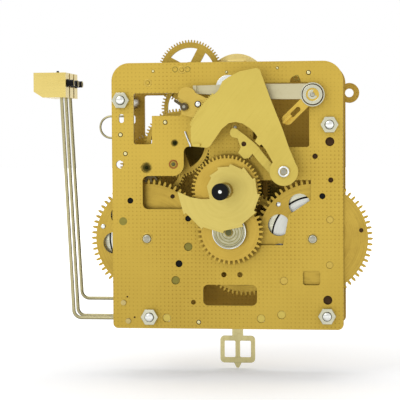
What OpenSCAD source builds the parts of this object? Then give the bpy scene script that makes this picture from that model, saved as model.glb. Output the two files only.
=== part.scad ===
// Two-train pendulum clock movement with rack striking and three hammers.
// X runs right, Z runs up, and the dial side faces -Y.
// The origin is on the hand shaft's axis, at the front face of the front plate.

/* [Plates] */
// Width of both plates
plate_w = 105; // [105:0.5:106]
// Height of both plates
plate_h = 120.8; // [120.8:0.2:122]
// Thickness of both plates
plate_t = 1.5; // [1.4:0.1:1.6]
// Clear distance between the plates
plate_gap = 30; // [30:0.5:31]
// Distance from the hand shaft to the left edge of the plates
shaft_to_left = 53.5; // [53.5:0.5:54]
// Distance from the hand shaft to the bottom edge of the plates
shaft_to_bottom = 63.3; // [63.3:0.1:64]

/* [Trains] */
// Sideways distance of each great wheel from the hand shaft
great_x = 37.7; // [37.6:0.1:37.8]
// Drop of each great wheel below the hand shaft
great_drop = 22.4; // [22.3:0.1:22.5]
// Module of the great wheels
great_m = 0.81; // [0.8:0.005:0.81]
// Teeth of a great wheel
great_n = 64; // [64]
// Thickness of a great wheel
great_t = 1.8; // [1.6:0.1:1.8]
// Thickness of the smaller wheels
wheel_t = 1.2; // [1:0.1:1.2]
// Radius of the wheel arbors
arbor_r = 1.0; // [0.9:0.05:1]
// Radius of the pivots that run in the plates
pivot_r = 0.7; // [0.6:0.05:0.75]
// Radial clearance of every running fit
run_gap = 0.08; // [0.05:0.01:0.1]

/* [Hands] */
// Module of the cannon pinion and the minute wheel
minute_m = 0.721; // [0.721]
// Module of the minute pinion and the hour wheel
hour_m = 0.577; // [0.577]
// Largest radius of the hour snail
snail_max = 21.4; // [21:0.1:21.6]
// Smallest radius of the hour snail
snail_min = 8.4; // [8.2:0.1:9]
// Distance of the hand shaft's tip from the front plate
shaft_reach = 36; // [34:0.5:38]

/* [Hammers] */
// Radius of the hammer wires
wire_r = 0.8; // [0.7:0.05:0.9]
// Height of the hammer heads' middle above the hand shaft
head_z = 49.3; // [48:0.1:50]
// Length of a hammer head
head_l = 15; // [14:0.5:15]

/* [Pendulum leader] */
// Distance of the leader's lower frame below the hand shaft
leader_drop = 83.6; // [83:0.2:84]
// Width of the leader's lower frame
leader_w = 16.6; // [16:0.2:17]

/* [Hidden] */
$fn = 64;

brass = [0.82, 0.70, 0.31];
pale_brass = [0.84, 0.76, 0.42];
steel = [0.66, 0.67, 0.68];
bright_steel = [0.80, 0.81, 0.82];
black = [0.05, 0.05, 0.05];

// Depths of the plates
rear_y = plate_t + plate_gap;
back_y = rear_y + plate_t;
left_x = -shaft_to_left;
right_x = left_x + plate_w;
low_z = -shaft_to_bottom;
top_z = low_z + plate_h;
pivot_out = 0.4;
shoulder = 0.25;

// Pinion leaves and the wheels that drive them
second_leaves = 16;
second_m = 0.65;
second_n = 72;
centre_leaves = 9;
centre_n = 72;
centre_m = 0.45;
third_leaves = 8;
third_n = 60;
third_m = 0.42;
escape_leaves = 8;
escape_n = 40;
escape_r = 12.4;
strike_n = 62;
strike_m = 0.49;
strike_leaves = 8;
warning_n = 66;
warning_m = 0.45;
minute_n = 39;
hour_n = 52;
motion_leaves = 13;

function pitch_r(n, m) = n * m / 2;
function mesh_d(n1, n2, m) = (n1 + n2) * m / 2;
function polar(a, r, d) = [a[0] + r * cos(d), a[1] + r * sin(d)];
function heading(a, b) = atan2(b[1] - a[1], b[0] - a[0]);
// Point at distance ra from a and rb from b, to the right of the line a-b if side is 1
function meet(a, ra, b, rb, side) =
    let (l = norm(b - a), q = (ra * ra - rb * rb + l * l) / (2 * l))
    polar(a, ra, heading(a, b) - side * acos(q / ra));
// Turn of a follower's first tooth that puts it in mesh with a wheel turned by turn_w
function meshed(a, b, n_w, n_f, turn_w = 0) =
    heading(a, b) + 180 + (0.5 - (turn_w - heading(a, b)) * n_w / 360) * 360 / n_f;

// Axes as [x, z]
hand_c = [0, 0];
time_great_c = [great_x, -great_drop];
strike_great_c = [-great_x, -great_drop];
second_d = mesh_d(great_n, second_leaves, great_m);
time_second_c = meet(time_great_c, second_d, hand_c,
    mesh_d(second_n, centre_leaves, second_m), -1);
anchor_c = [0, 46];
escape_c = [3, 28];
third_c = meet(hand_c, mesh_d(centre_n, third_leaves, centre_m),
    escape_c, mesh_d(third_n, escape_leaves, third_m), 1);
strike_second_c = polar(strike_great_c, second_d, 90);
strike_d = mesh_d(strike_n, strike_leaves, strike_m);
strike_third_c = polar(strike_second_c, strike_d, 40.6);
gathering_c = polar(strike_third_c, strike_d, 69.4);
warning_c = polar(gathering_c, strike_d, 98.2);
fly_c = polar(warning_c, mesh_d(warning_n, strike_leaves, warning_m), 200);
minute_c = [1.2, -sqrt(pow(mesh_d(minute_n, motion_leaves, minute_m), 2) - 1.44)];
rack_c = [25.8, 8.2];
hook_c = [-12.5, 38.3];
bar_c = [38.2, 42.3];
lower_hammer_c = [-46.5, -60];
upper_hammer_c = [-48.7, -51.6];

// Where each wheel stands, measured back from the front face of the front plate
time_great_y = 3;
strike_great_y = 6.6;
time_second_y = 19.5;
centre_y = 24;
third_y = 27.4;
escape_y = 16.5;
strike_second_y = 20;
strike_third_y = 11;
gathering_y = 25;
warning_y = 28.2;
star_y = 2.1;
star_t = 3.9;
chain_gap = 0.3;
click_t = 1.2;
chain_t = 9;

// Front work, measured forward of the front plate as negative numbers
minute_y = -7.2;
cam_y = -8.5;
hour_y = -10.6;
washer_y = -12.8;
snail_y = -15.2;
front_t = 1.2;
lift_y = -8.4;
hook_y = -10;
bar_y = -5.2;

pillar_at = [[-49, 40.6], [45.5, 28.9], [-36.4, -57.9], [44.2, -57]];
pillar_r = 3.5;
stud_r = 1.9;
nut_af = 7;
nut_t = 3;

arbors_at = [time_great_c, strike_great_c];
small_arbors_at = [
    time_second_c, third_c, escape_c, strike_second_c, strike_third_c,
    gathering_c, warning_c, fly_c
];
great_arbor_r = 2;
great_pivot_r = 1.8;
centre_r = 1.5;

module along_y(at, y0, y1, r) {
    translate([at[0], y0, at[1]])
        rotate([-90, 0, 0])
            cylinder(h = y1 - y0, r = r);
}

// A flat shape drawn as [x, z], t thick, with its front face at y
module slab(y, t) {
    translate([0, y + t, 0])
        rotate([90, 0, 0])
            linear_extrude(t)
                children();
}

module spot(at, r) {
    translate(at)
        circle(r);
}

// Rounded rectangle from the low corner to the high corner
module rounded(low, high, r) {
    translate([low[0] + r, low[1]])
        square([high[0] - low[0] - 2 * r, high[1] - low[1]]);
    translate([low[0], low[1] + r])
        square([high[0] - low[0], high[1] - low[1] - 2 * r]);
    for (x = [low[0] + r, high[0] - r])
        for (z = [low[1] + r, high[1] - r])
            spot([x, z], r);
}

// A flat bar between two points, with round ends a trace wider than its sides
module strap(a, b, w) {
    side_w = 0.97 * w;
    spot(a, w / 2);
    spot(b, w / 2);
    translate(a)
        rotate(heading(a, b))
            translate([0, -side_w / 2])
                square([norm(b - a), side_w]);
}

// Tooth outline as [radius, share of the half thickness], from root to tip
function tooth(n, m, add, ded) = let (r = pitch_r(n, m)) [
    [r - ded * m, 1], [r, 1], [r + 0.55 * add * m, 0.72], [r + add * m, 0.28]
];
function toothed(n, m, half, add, ded, turn) =
    let (form = tooth(n, m, add, ded), wide = half * m / pitch_r(n, m) * 180 / PI)
    [for (i = [0 : n - 1], j = [0 : 7])
        let (p = form[j < 4 ? j : 7 - j], d = turn + 360 * i / n + (j < 4 ? -1 : 1) * wide * p[1])
        [p[0] * cos(d), p[0] * sin(d)]];

module wheel_shape(n, m, turn = 0) {
    polygon(toothed(n, m, 0.72, 1.2, 1.45, turn));
}

module pinion_shape(n, m, turn = 0) {
    polygon(toothed(n, m, 0.56, 0.65, 1.6, turn));
}

// Four spokes between a hub and a rim, cut out of whatever is passed in
module spoked(hub, rim, spokes = 4, turn = 0, spoke_w = 3) {
    difference() {
        children();
        difference() {
            circle(rim);
            circle(hub);
            for (i = [0 : spokes - 1])
                rotate(turn + 360 * i / spokes)
                    translate([0, -spoke_w / 2])
                        square([rim + 1, spoke_w]);
        }
    }
}

module wheel(at, y, n, m, hub, rim, turn = 0, bore = arbor_r, spokes = 4) {
    slab(y, wheel_t)
        translate(at)
            difference() {
                spoked(hub, rim, spokes, 20)
                    wheel_shape(n, m, turn);
                circle(bore);
            }
}

// An arbor with shoulders inside the plates, a pivot in each and a collar against its wheel
module arbor(at, wheel_y, y0 = plate_t + shoulder, y1 = rear_y - shoulder) {
    along_y(at, y0, y1, arbor_r);
    along_y(at, -pivot_out, back_y + pivot_out, pivot_r);
    along_y(at, wheel_y + wheel_t, wheel_y + wheel_t + 1, 2);
}

module pinion(at, y, l, n, m, turn) {
    slab(y, l)
        translate(at)
            pinion_shape(n, m, turn);
}

module plate_outline(r) {
    difference() {
        translate([left_x, low_z])
            square([plate_w, plate_h]);
        for (c = [[left_x, low_z, r[0], 0], [right_x, low_z, r[1], 1],
                  [right_x, top_z, r[2], 2], [left_x, top_z, r[3], 3]])
            translate([c[0], c[1]])
                rotate(90 * c[3])
                    difference() {
                        translate([-1, -1])
                            square(c[2] + 1);
                        translate([c[2], c[2]])
                            circle(c[2]);
                    }
    }
}

// Holes that both plates share
module shared_holes() {
    spot(hand_c, centre_r + run_gap);
    for (at = arbors_at)
        spot(at, great_pivot_r + run_gap);
    for (at = small_arbors_at)
        spot(at, pivot_r + run_gap);
    for (at = pillar_at)
        spot(at, stud_r + 0.1);
    for (at = [lower_hammer_c, upper_hammer_c])
        spot(at, 1.25);
    spot([-49.9, 11.5], 1.8);
    rounded([-50.2, 30.4], [-47.9, 34.4], 1);
}

module corner_window() {
    rounded([-43.4, 33.5], [-21.6, 43.7], 1);
    rounded([-43.4, 20.6], [-35, 43.7], 1);
}

module windows() {
    corner_window();
    rounded([-39.5, -8.9], [-9, 6.2], 2.5);
    rounded([-20.5, -8.9], [-9, 19.5], 2.5);
    difference() {
        translate([-25.5, 6])
            square([5.2, 5.2]);
        spot([-25.5, 11.2], 5);
    }
    polygon([[12, 4.1], [37, 4.1], [37, -4.8], [27, -11.5], [24.4, -25.2], [12, -25.2]]);
    rounded([14, 19], [36.3, 47.8], 1);
    rounded([11, 22.6], [20, 47.8], 0.6);
    spot([30.2, 48.4], 2.4);
    rounded([-12, -52.6], [12.5, -43.2], 2.3);
    rounded([33.3, -43.2], [41, -36.7], 1.2);
}

// Screw, peg and oil holes as [x, z, radius]
plate_holes = [
    [-45.2, -5, 1.35], [-18.7, -13.2, 1.35], [-18.7, -26, 1.9],
    [-23, -33.7, 1.6], [-24.6, -41.3, 1.9], [-16.5, -51.2, 1.1], [-2.5, -38.6, 1.2],
    [4.8, -38.6, 1.2], [23.6, -56.7, 1.9], [14.3, -58.5, 1.9], [-28.8, -58.5, 1.9],
    [24.7, -41.3, 1.8], [45.3, -34.1, 1.6], [45.5, -13.7, 1.6], [42.1, -3.1, 1.35],
    [45.9, 4.1, 1.2], [38.9, 14.8, 1.25], [45.5, 21.3, 2.05], [44.4, -49.9, 2.05]
];
module front_plate() {
    color(brass)
        difference() {
            slab(0, plate_t)
                difference() {
                    plate_outline([2.3, 2.7, 9, 8.1]);
                    shared_holes();
                    windows();
                    for (h = plate_holes)
                        spot([h[0], h[1]], h[2]);
                    spot(anchor_c, pivot_r + run_gap);
                }
            along_y(strike_second_c, -1, 0.5, 2.3);
            along_y(strike_third_c, -1, 0.5, 1.5);
            along_y(time_second_c, -1, 0.4, 1.6);
        }
}

ear_c = [53.3, 44];
ear_r = 4.64;
ear_hole_r = 2;

module back_plate() {
    color(brass)
        slab(rear_y, plate_t)
            difference() {
                union() {
                    plate_outline([2.3, 2.7, 9, 8.1]);
                    spot(ear_c, ear_r);
                    translate([right_x - 4, ear_c[1] - 4.2])
                        square([6, 8.4]);
                }
                spot(ear_c, ear_hole_r);
                shared_holes();
                spot(anchor_c, pivot_r + run_gap);
                corner_window();
            }
}

module pillars() {
    color(steel)
        for (at = pillar_at) {
            along_y(at, plate_t, rear_y, pillar_r);
            along_y(at, -nut_t - 0.8, back_y + nut_t + 0.8, stud_r);
        }
}

module hex_nut(at, y) {
    slab(y, nut_t)
        translate(at)
            difference() {
                circle(nut_af / sqrt(3), $fn = 6);
                circle(stud_r + 0.05);
            }
}

module pillar_nuts() {
    color(bright_steel)
        for (at = pillar_at) {
            hex_nut(at, -nut_t);
            hex_nut(at, back_y);
        }
}

post_r = 1.5;
clip_t = 0.7;

// A riveted stud: a foot on the plate, a bearing length and a clip groove's head
module post(at, foot_to, reach, head_r) {
    along_y(at, foot_to, 0, 2.6);
    along_y(at, reach, foot_to, post_r);
    along_y(at, reach - clip_t, reach, head_r);
}

module lever_posts() {
    color(steel) {
        post(rack_c, -6.9, -13.7, 2.7);
        post(hook_c, -8.6, -10.15, 2);
        post(bar_c, -3.6, -5.35, 4.8);
        post(minute_c, -5.5, -12.9, 1.7);
    }
}

cock_y = 38;
spring_pin_r = 0.8;

module suspension_cock() {
    color(pale_brass)
        difference() {
            union() {
                slab(cock_y, plate_t)
                    difference() {
                        translate([0, 49])
                            circle(14.3);
                        translate([-16, 30])
                            square([32, 9]);
                    }
                for (x = [-10.6, 10.6])
                    along_y([x, 46], back_y, cock_y, 2.5);
            }
            along_y(anchor_c, cock_y - 1, cock_y + 3, spring_pin_r + run_gap);
        }
}

leader_y = 35.2;
leader_t = 1;

module suspension_block() {
    color(brass)
        difference() {
            translate([-4, back_y + 0.8, 52])
                cube([8, cock_y - back_y - 0.8, 8]);
            translate([-0.9, back_y, 50])
                cube([1.8, 4, 6]);
            along_y([0, 58], 30, 45, 1);
        }
}

module hammer_arbors() {
    color(steel)
        for (at = [lower_hammer_c, upper_hammer_c])
            along_y(at, -0.6, back_y + 0.6, 1.2);
}

loop_c = [-56.8, 28.7];
loop_r = 5;
loop_y = 16;

module wire_loop() {
    color(steel) {
        translate([loop_c[0], loop_y, loop_c[1]])
            rotate([90, 0, 0])
                rotate([0, 0, 90])
                    rotate_extrude(angle = 180)
                        translate([loop_r, 0])
                            circle(0.5);
        for (s = [-1, 1])
            translate([loop_c[0], loop_y, loop_c[1] + s * loop_r])
                rotate([0, 90, 0])
                    cylinder(h = 6, r = 0.5);
        along_y([loop_c[0] + 6, loop_c[1] + loop_r], loop_y - 0.5, rear_y, 0.5);
        along_y([loop_c[0] + 6, loop_c[1] - loop_r], loop_y - 0.5, rear_y, 0.5);
    }
}

// A great wheel with three large round windows on one side
module great_wheel(at, y, first_hole) {
    color(brass)
        slab(y, great_t)
            translate(at)
                difference() {
                    wheel_shape(great_n, great_m);
                    circle(great_arbor_r + 0.02);
                    for (i = [0 : 2])
                        rotate(first_hole + 47 * i)
                            translate([16.6, 0])
                                circle(4.9);
                }
}

module great_arbor(at, y) {
    color(steel) {
        along_y(at, plate_t + shoulder, rear_y - shoulder, great_arbor_r);
        along_y(at, -pivot_out, back_y + pivot_out, great_pivot_r);
        along_y(at, y - 0.6, y, 4);
    }
}

ratchet_n = 24;
ratchet_r = 10.5;
chain_disc_r = 18.4;
chain_core_r = 13.6;
sprocket_n = 18;

// Two plain discs with a sprocket core between them, and ratchet teeth on the front
module chain_wheel(at, y) {
    color(bright_steel)
        difference() {
            union() {
                slab(y, 1.2)
                    translate(at)
                        polygon([for (i = [0 : ratchet_n - 1], r = [ratchet_r, ratchet_r - 1.4])
                            [r * cos(360 * i / ratchet_n), r * sin(360 * i / ratchet_n)]]);
                along_y(at, y + 1.2, y + 2.4, chain_disc_r);
                slab(y + 2.4, chain_t - 3.6)
                    translate(at)
                        polygon([for (i = [0 : 2 * sprocket_n - 1])
                            let (r = i % 2 == 0 ? chain_core_r : chain_core_r - 2.2)
                            [r * cos(180 * i / sprocket_n), r * sin(180 * i / sprocket_n)]]);
                along_y(at, y + chain_t - 1.2, y + chain_t, chain_disc_r);
            }
            along_y(at, y - 1, y + chain_t + 1, great_arbor_r + run_gap);
        }
}

// A curved click riveted to the back of the great wheel, its nose just off the ratchet
module click(at, y) {
    color(steel)
        slab(y + great_t, click_t)
            translate(at) {
                strap([14.6, -3.4], [13.2, 2.6], 2.4);
                strap([13.2, 2.6], [10.9, 3.9], 1.4);
                spot([14.6, -3.4], 2);
            }
}

time_chain_y = time_great_y + great_t + chain_gap;
strike_chain_y = strike_great_y + great_t + chain_gap;

module time_great_wheel() { great_wheel(time_great_c, time_great_y, 111.4); }
module time_great_arbor() { great_arbor(time_great_c, time_great_y); }
module time_click() { click(time_great_c, time_great_y); }
module time_chain_wheel() { chain_wheel(time_great_c, time_chain_y); }
module strike_great_wheel() { great_wheel(strike_great_c, strike_great_y, 141); }
module strike_great_arbor() { great_arbor(strike_great_c, strike_great_y); }
module strike_click() { click(strike_great_c, strike_great_y); }
module strike_chain_wheel() { chain_wheel(strike_great_c, strike_chain_y); }

star_n = 12;
star_r = 8;

module strike_star() {
    color(steel)
        slab(star_y, star_t)
            translate(strike_great_c)
                difference() {
                    polygon([for (i = [0 : 2 * star_n - 1])
                        let (r = i % 2 == 0 ? star_r : star_r - 2.6)
                        [r * cos(180 * i / star_n), r * sin(180 * i / star_n)]]);
                    circle(great_arbor_r + 0.02);
                }
}

module time_second_wheel() {
    color(brass)
        wheel(time_second_c, time_second_y, second_n, second_m, 5, 19.4);
}

module time_second_arbor() {
    color(steel) {
        arbor(time_second_c, time_second_y);
        pinion(time_second_c, time_great_y - 0.8, great_t + 1.6, second_leaves, great_m,
            meshed(time_great_c, time_second_c, great_n, second_leaves));
    }
}

module centre_wheel() {
    color(brass)
        wheel(hand_c, centre_y, centre_n, centre_m, 5, 13.4, 0, centre_r);
}

module centre_arbor() {
    color(steel) {
        along_y(hand_c, -shaft_reach + 4.9, back_y + 1, centre_r);
        along_y(hand_c, centre_y + wheel_t, centre_y + wheel_t + 1, 3);
        pinion(hand_c, time_second_y - 1, wheel_t + 2, centre_leaves, second_m,
            meshed(time_second_c, hand_c, second_n, centre_leaves));
    }
}

cannon_r = 2.4;
minute_seat_r = 2.1;
pipe_end = -24;
pipe_r = 3.4;
hour_seat_r = 3.2;

module cannon_pinion() {
    color(brass)
        difference() {
            union() {
                slab(minute_y, 1.9)
                    pinion_shape(motion_leaves, minute_m,
                        meshed(minute_c, hand_c, minute_n, motion_leaves));
                along_y(hand_c, pipe_end, minute_y, cannon_r);
                along_y(hand_c, -shaft_reach + 6.6, pipe_end, minute_seat_r);
                along_y(hand_c, minute_y + 1.9, -1.2, cannon_r);
            }
            along_y(hand_c, -shaft_reach, 1, centre_r + 0.03);
        }
}

// Two lobes lift the lever at the hour and the half hour
module lifting_cam() {
    color(brass)
        slab(cam_y, 1)
            difference() {
                union() {
                    circle(5);
                    for (d = [-35, 145])
                        rotate(d)
                            intersection() {
                                translate([5.2, 0])
                                    circle(5.4);
                                square([10, 6]);
                            }
                }
                circle(cannon_r + 0.03);
            }
}

module hand_nut() {
    color(black)
        difference() {
            along_y(hand_c, -shaft_reach, -shaft_reach + 6.2, 3.65);
            along_y(hand_c, -shaft_reach + 4.8, -shaft_reach + 7, centre_r + 0.03);
        }
}

module third_wheel() {
    color(brass)
        wheel(third_c, third_y, third_n, third_m, 3.4, 10.2);
}

module third_arbor() {
    color(steel) {
        arbor(third_c, third_y);
        pinion(third_c, centre_y - 1, wheel_t + 2, third_leaves, centre_m,
            meshed(hand_c, third_c, centre_n, third_leaves));
    }
}

// Pointed teeth with hooked fronts, raked one way
module escape_wheel() {
    color(brass)
        slab(escape_y, 1)
            translate(escape_c)
                difference() {
                    spoked(3.2, 8.6, 4, 20, 2.2)
                        polygon([for (i = [0 : escape_n - 1], j = [0 : 2])
                            let (d = 360 / escape_n * (i + [0, 0.12, 0.62][j]))
                            let (r = [escape_r, escape_r - 0.05, escape_r - 1.9][j])
                            [r * cos(d), r * sin(d)]]);
                    circle(arbor_r);
                }
}

module escape_arbor() {
    color(steel) {
        arbor(escape_c, escape_y - 0.2);
        pinion(escape_c, third_y - 1, wheel_t + 2, escape_leaves, third_m,
            meshed(third_c, escape_c, third_n, escape_leaves));
    }
}

minute_pinion_y = -10.8;

module minute_wheel() {
    color(brass)
        difference() {
            union() {
                slab(minute_y, 1.5)
                    translate(minute_c)
                        wheel_shape(minute_n, minute_m);
                pinion(minute_c, minute_pinion_y, minute_y - minute_pinion_y, motion_leaves,
                    hour_m, 0);
            }
            along_y(minute_c, -15, 0, post_r + run_gap);
        }
}

module minute_washer() {
    color(bright_steel)
        difference() {
            union() {
                along_y(minute_c, washer_y, washer_y + 1, 6.4);
                along_y(minute_c, washer_y + 1, washer_y + 1.9, 7.6);
            }
            along_y(minute_c, -15, 0, post_r + run_gap);
        }
}

module hour_wheel() {
    color(brass)
        difference() {
            union() {
                slab(hour_y, 1.5)
                    wheel_shape(hour_n, hour_m,
                        meshed(minute_c, hand_c, motion_leaves, hour_n));
                along_y(hand_c, snail_y, hour_y, pipe_r);
                along_y(hand_c, pipe_end, snail_y, hour_seat_r);
            }
            along_y(hand_c, -30, 0, cannon_r + run_gap);
        }
}

snail_start = 181;
snail_step = (snail_max - snail_min) / 11;
// Hollow edge between the smallest step and the horn's tip, as [radius, direction]
snail_horn = [[7.9, 208], [11.2, 200], [16, 190.5]];

// Twelve steps round the hub, and a hollow edge that lets the rack's foot slide off the last
module hour_snail() {
    color(pale_brass)
        slab(snail_y, front_t)
            difference() {
                polygon(concat(
                    [for (i = [0 : 23])
                        let (step = floor(i / 2), d = snail_start + 28.8 * (step + i % 2))
                        polar(hand_c, snail_max - snail_step * step, d)],
                    [for (p = snail_horn) polar(hand_c, p[0], p[1])]));
                circle(pipe_r + 0.02);
            }
}

anchor_y = 16.2;

// Two arms that reach over the escape wheel, each ending in a pallet
module anchor() {
    color(steel)
        difference() {
            union() {
                along_y(anchor_c, anchor_y - 0.4, anchor_y + 2, 3);
                slab(anchor_y, 1.6)
                    polygon([
                        [0.5, 48.4], [5.2, 47.6], [9.6, 45.6], [12.7, 42.4], [14.9, 38.7],
                        [13.6, 37.1], [12.4, 37.9], [10.4, 40.6], [7.6, 43], [4, 44.2],
                        [0.5, 44.3], [-3.6, 43.2], [-6.2, 41.2], [-8.2, 37.9], [-9.3, 36.3],
                        [-10.8, 37.4], [-9.9, 40.6], [-7.6, 44.4], [-4.2, 47]
                    ]);
            }
            along_y(anchor_c, anchor_y - 1, anchor_y + 3, arbor_r);
        }
}

crutch_y = 33.4;
crutch_t = 0.9;

module anchor_arbor() {
    color(steel) {
        along_y(anchor_c, plate_t + shoulder, rear_y - shoulder, arbor_r);
        along_y(anchor_c, -pivot_out, crutch_y + crutch_t, pivot_r);
        along_y(anchor_c, anchor_y + 2, anchor_y + 3, 2);
    }
}

// A rod that hangs behind the back plate and drives the leader through a pin
module crutch() {
    color(steel)
        difference() {
            union() {
                slab(crutch_y, crutch_t) {
                    spot(anchor_c, 2.6);
                    strap(anchor_c, [0, 12], 1.8);
                }
                along_y([0, 12], crutch_y, 37.2, 0.7);
            }
            along_y(anchor_c, 30, 40, pivot_r);
        }
}

frame_low = -leader_drop;
frame_high = frame_low + 12.9;

// A long strip with a slot for the crutch pin, ending in a two-window frame and a nib
module pendulum_leader() {
    color(pale_brass) {
        slab(leader_y + 0.1, leader_t - 0.2)
            polygon([[-2.4, frame_low + 1.3], [2.4, frame_low + 1.3], [0.6, frame_low - 2.4],
                [-0.6, frame_low - 2.4]]);
        slab(leader_y, leader_t)
            difference() {
                union() {
                    translate([-2.6, frame_high - 1])
                        square([5.2, 40.5 - frame_high + 1]);
                    rounded([-leader_w / 2, frame_low], [leader_w / 2, frame_high], 2);
                }
                for (s = [-1, 1])
                    rounded([s * 3.7 - 2.6, frame_low + 2.6], [s * 3.7 + 2.6, frame_high - 2.4], 0.6);
                rounded([-0.9, 8], [0.9, 16], 0.85);
            }
    }
}

module suspension_spring() {
    color(bright_steel) {
        translate([-0.15, leader_y - 0.7, 36])
            cube([0.3, 0.7, 18]);
        along_y(anchor_c, leader_y - 0.7, cock_y + plate_t + 0.4, spring_pin_r);
    }
}

module strike_second_wheel() {
    color(brass)
        wheel(strike_second_c, strike_second_y, strike_n, strike_m, 4, 12.6);
}

module strike_second_arbor() {
    color(steel) {
        arbor(strike_second_c, strike_second_y);
        pinion(strike_second_c, strike_great_y - 0.8, great_t + 1.6, second_leaves, great_m,
            meshed(strike_great_c, strike_second_c, great_n, second_leaves));
    }
}

module strike_third_wheel() {
    color(brass)
        wheel(strike_third_c, strike_third_y, strike_n, strike_m, 4, 12.6);
}

module strike_third_arbor() {
    color(steel) {
        arbor(strike_third_c, strike_third_y);
        pinion(strike_third_c, strike_second_y - 1, wheel_t + 2, strike_leaves, strike_m,
            meshed(strike_second_c, strike_third_c, strike_n, strike_leaves));
    }
}

module gathering_wheel() {
    color(brass)
        wheel(gathering_c, gathering_y, strike_n, strike_m, 4, 12.6);
}

pallet_y = -12.2;

module gathering_arbor() {
    color(steel) {
        along_y(gathering_c, plate_t + shoulder, rear_y - shoulder, arbor_r);
        along_y(gathering_c, pallet_y - 0.2, back_y + pivot_out, pivot_r);
        along_y(gathering_c, gathering_y + wheel_t, gathering_y + wheel_t + 1, 2);
        pinion(gathering_c, strike_third_y - 1, wheel_t + 2, strike_leaves, strike_m,
            meshed(strike_third_c, gathering_c, strike_n, strike_leaves));
    }
}

// A hub with one finger that draws the rack back a tooth a turn
module gathering_pallet() {
    color(steel)
        slab(pallet_y, 1.2)
            translate(gathering_c)
                difference() {
                    union() {
                        circle(1.7);
                        strap([0, 0], [-3.8, 2.6], 1.2);
                    }
                    circle(pivot_r);
                }
}

module warning_wheel() {
    color(brass)
        slab(warning_y, wheel_t)
            translate(warning_c)
                difference() {
                    spoked(5, 11.6, 4, 62, 4.2)
                        wheel_shape(warning_n, warning_m);
                    circle(arbor_r);
                }
}

module warning_arbor() {
    color(steel) {
        arbor(warning_c, warning_y);
        pinion(warning_c, gathering_y - 1, wheel_t + 2, strike_leaves, strike_m,
            meshed(gathering_c, warning_c, strike_n, strike_leaves));
    }
}

// A two-bladed air brake on its own small arbor
module fly() {
    color(bright_steel) {
        along_y(fly_c, plate_t + shoulder, rear_y - shoulder, arbor_r);
        along_y(fly_c, -pivot_out, back_y + pivot_out, pivot_r);
        pinion(fly_c, warning_y - 0.4, wheel_t + 1, strike_leaves, warning_m,
            meshed(warning_c, fly_c, warning_n, strike_leaves));
        translate([fly_c[0], 0, fly_c[1]])
            rotate([0, 35, 0])
                translate([-7.2, 6, -0.4])
                    cube([14.4, 16, 0.8]);
    }
}

rack_y = -13.4;
rack_tooth_r = 47.4;
rack_teeth = 18;
rack_pitch = 1.2;
segment_low = 132;
segment_in = 42;

// Outline of the rack's broad plate with its arch, foot and pivot end
module rack_shape() {
    difference() {
        union() {
            polygon([
                [-3.2, 44.1], [-1.2, 48.3], [1.5, 50.1], [6.4, 52.5], [13.9, 54], [15.4, 53.2],
                [20.1, 40.1], [25.4, 26.8], [28.1, 18.8], [32, 9.5], [25.8, 8.2], [21.9, 10.6],
                [17.9, 17.9], [16, 20.3], [15.1, 19.7], [13.1, 21.5], [14.2, 23.7], [12.9, 25.5],
                [10.8, 27.5], [7.7, 29.5], [4.6, 30.3], [1.5, 29.7],
                [-1.6, 27.2], [-4.3, 23.3], [-6.9, 19.6], [-8.3, 18.9], [-14.5, 19.5],
                [-15.4, 21.5], [-15.6, 27.7], [-13.1, 31.7], [-9.4, 34.8], [-7.1, 40.5]
            ]);
            spot(rack_c, 6.3);
        }
        spot(rack_c, post_r + run_gap);
    }
}

// The rack, with its toothed segment riveted behind the broad plate
module rack() {
    color(pale_brass) {
        slab(rack_y, front_t)
            rack_shape();
        difference() {
            along_y(rack_c, rack_y + front_t - 0.2, lift_y - 0.3, 2.8);
            along_y(rack_c, rack_y - 1, lift_y + 1, post_r + run_gap);
        }
        translate([-14.4, snail_y, 19.5])
            cube([3.2, rack_y + front_t - snail_y, 1.3]);
        slab(rack_y + front_t, 1.1)
            intersection() {
                polygon(concat(
                    [for (i = [0 : 2 * rack_teeth])
                        let (r = i % 2 == 0 ? rack_tooth_r - 0.8 : rack_tooth_r)
                        polar(rack_c, r, segment_low + i * rack_pitch / 2)],
                    [for (i = [8 : -1 : 0])
                        polar(rack_c, segment_in, segment_low + i * rack_teeth * rack_pitch / 8)]));
                translate([-16, 14])
                    square([30, 40]);
            }
    }
}

// A round-headed hook lever that holds the rack, turning on its own stud
module rack_hook() {
    color(pale_brass)
        slab(hook_y, front_t)
            difference() {
                union() {
                    spot([-17.5, 41.9], 4.1);
                    polygon([[-21.5, 41], [-19.8, 33.8], [-15, 32.4], [-9.6, 34.2], [-8, 40.6],
                        [-14.2, 43.6]]);
                }
                spot(hook_c, post_r + run_gap);
                spot(gathering_c, 1.8);
            }
}

module lifting_lever() {
    color(pale_brass)
        difference() {
            union() {
                along_y(rack_c, lift_y - 0.1, lift_y + 1.1, 5.6);
                slab(lift_y, 1)
                    polygon([
                        [1.3, 25], [1.6, 26.6], [2.6, 27.7], [4.2, 27.5], [8, 24.6], [12.4, 21],
                        [14.2, 19.2], [16.9, 15.7], [21.2, 10.4], [25, 8], [21.5, 5.2],
                        [19.4, 6.9], [13.8, 13], [11.5, 16.1], [9.9, 14.2], [7.7, 13.8],
                        [5.1, 16.6], [6.3, 19], [4.9, 23], [2.4, 23.6]
                    ]);
            }
            along_y(rack_c, rack_y, 0, post_r + run_gap);
            along_y([7.7, 20.5], rack_y, 0, 1.1);
        }
}

module steel_bar() {
    color(bright_steel) {
        slab(bar_y, 1)
            difference() {
                union() {
                    spot(bar_c, 5);
                    polygon([[38.2, 47.2], [8, 47.3], [-13.6, 46.8], [-13.6, 43], [6, 41.8],
                        [12, 40.4], [38.2, 40.2]]);
                }
                spot(bar_c, post_r + run_gap);
            }
        translate([-15.2, bar_y - 2.2, 43])
            cube([1.6, 3.2, 3.8]);
    }
}

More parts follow.
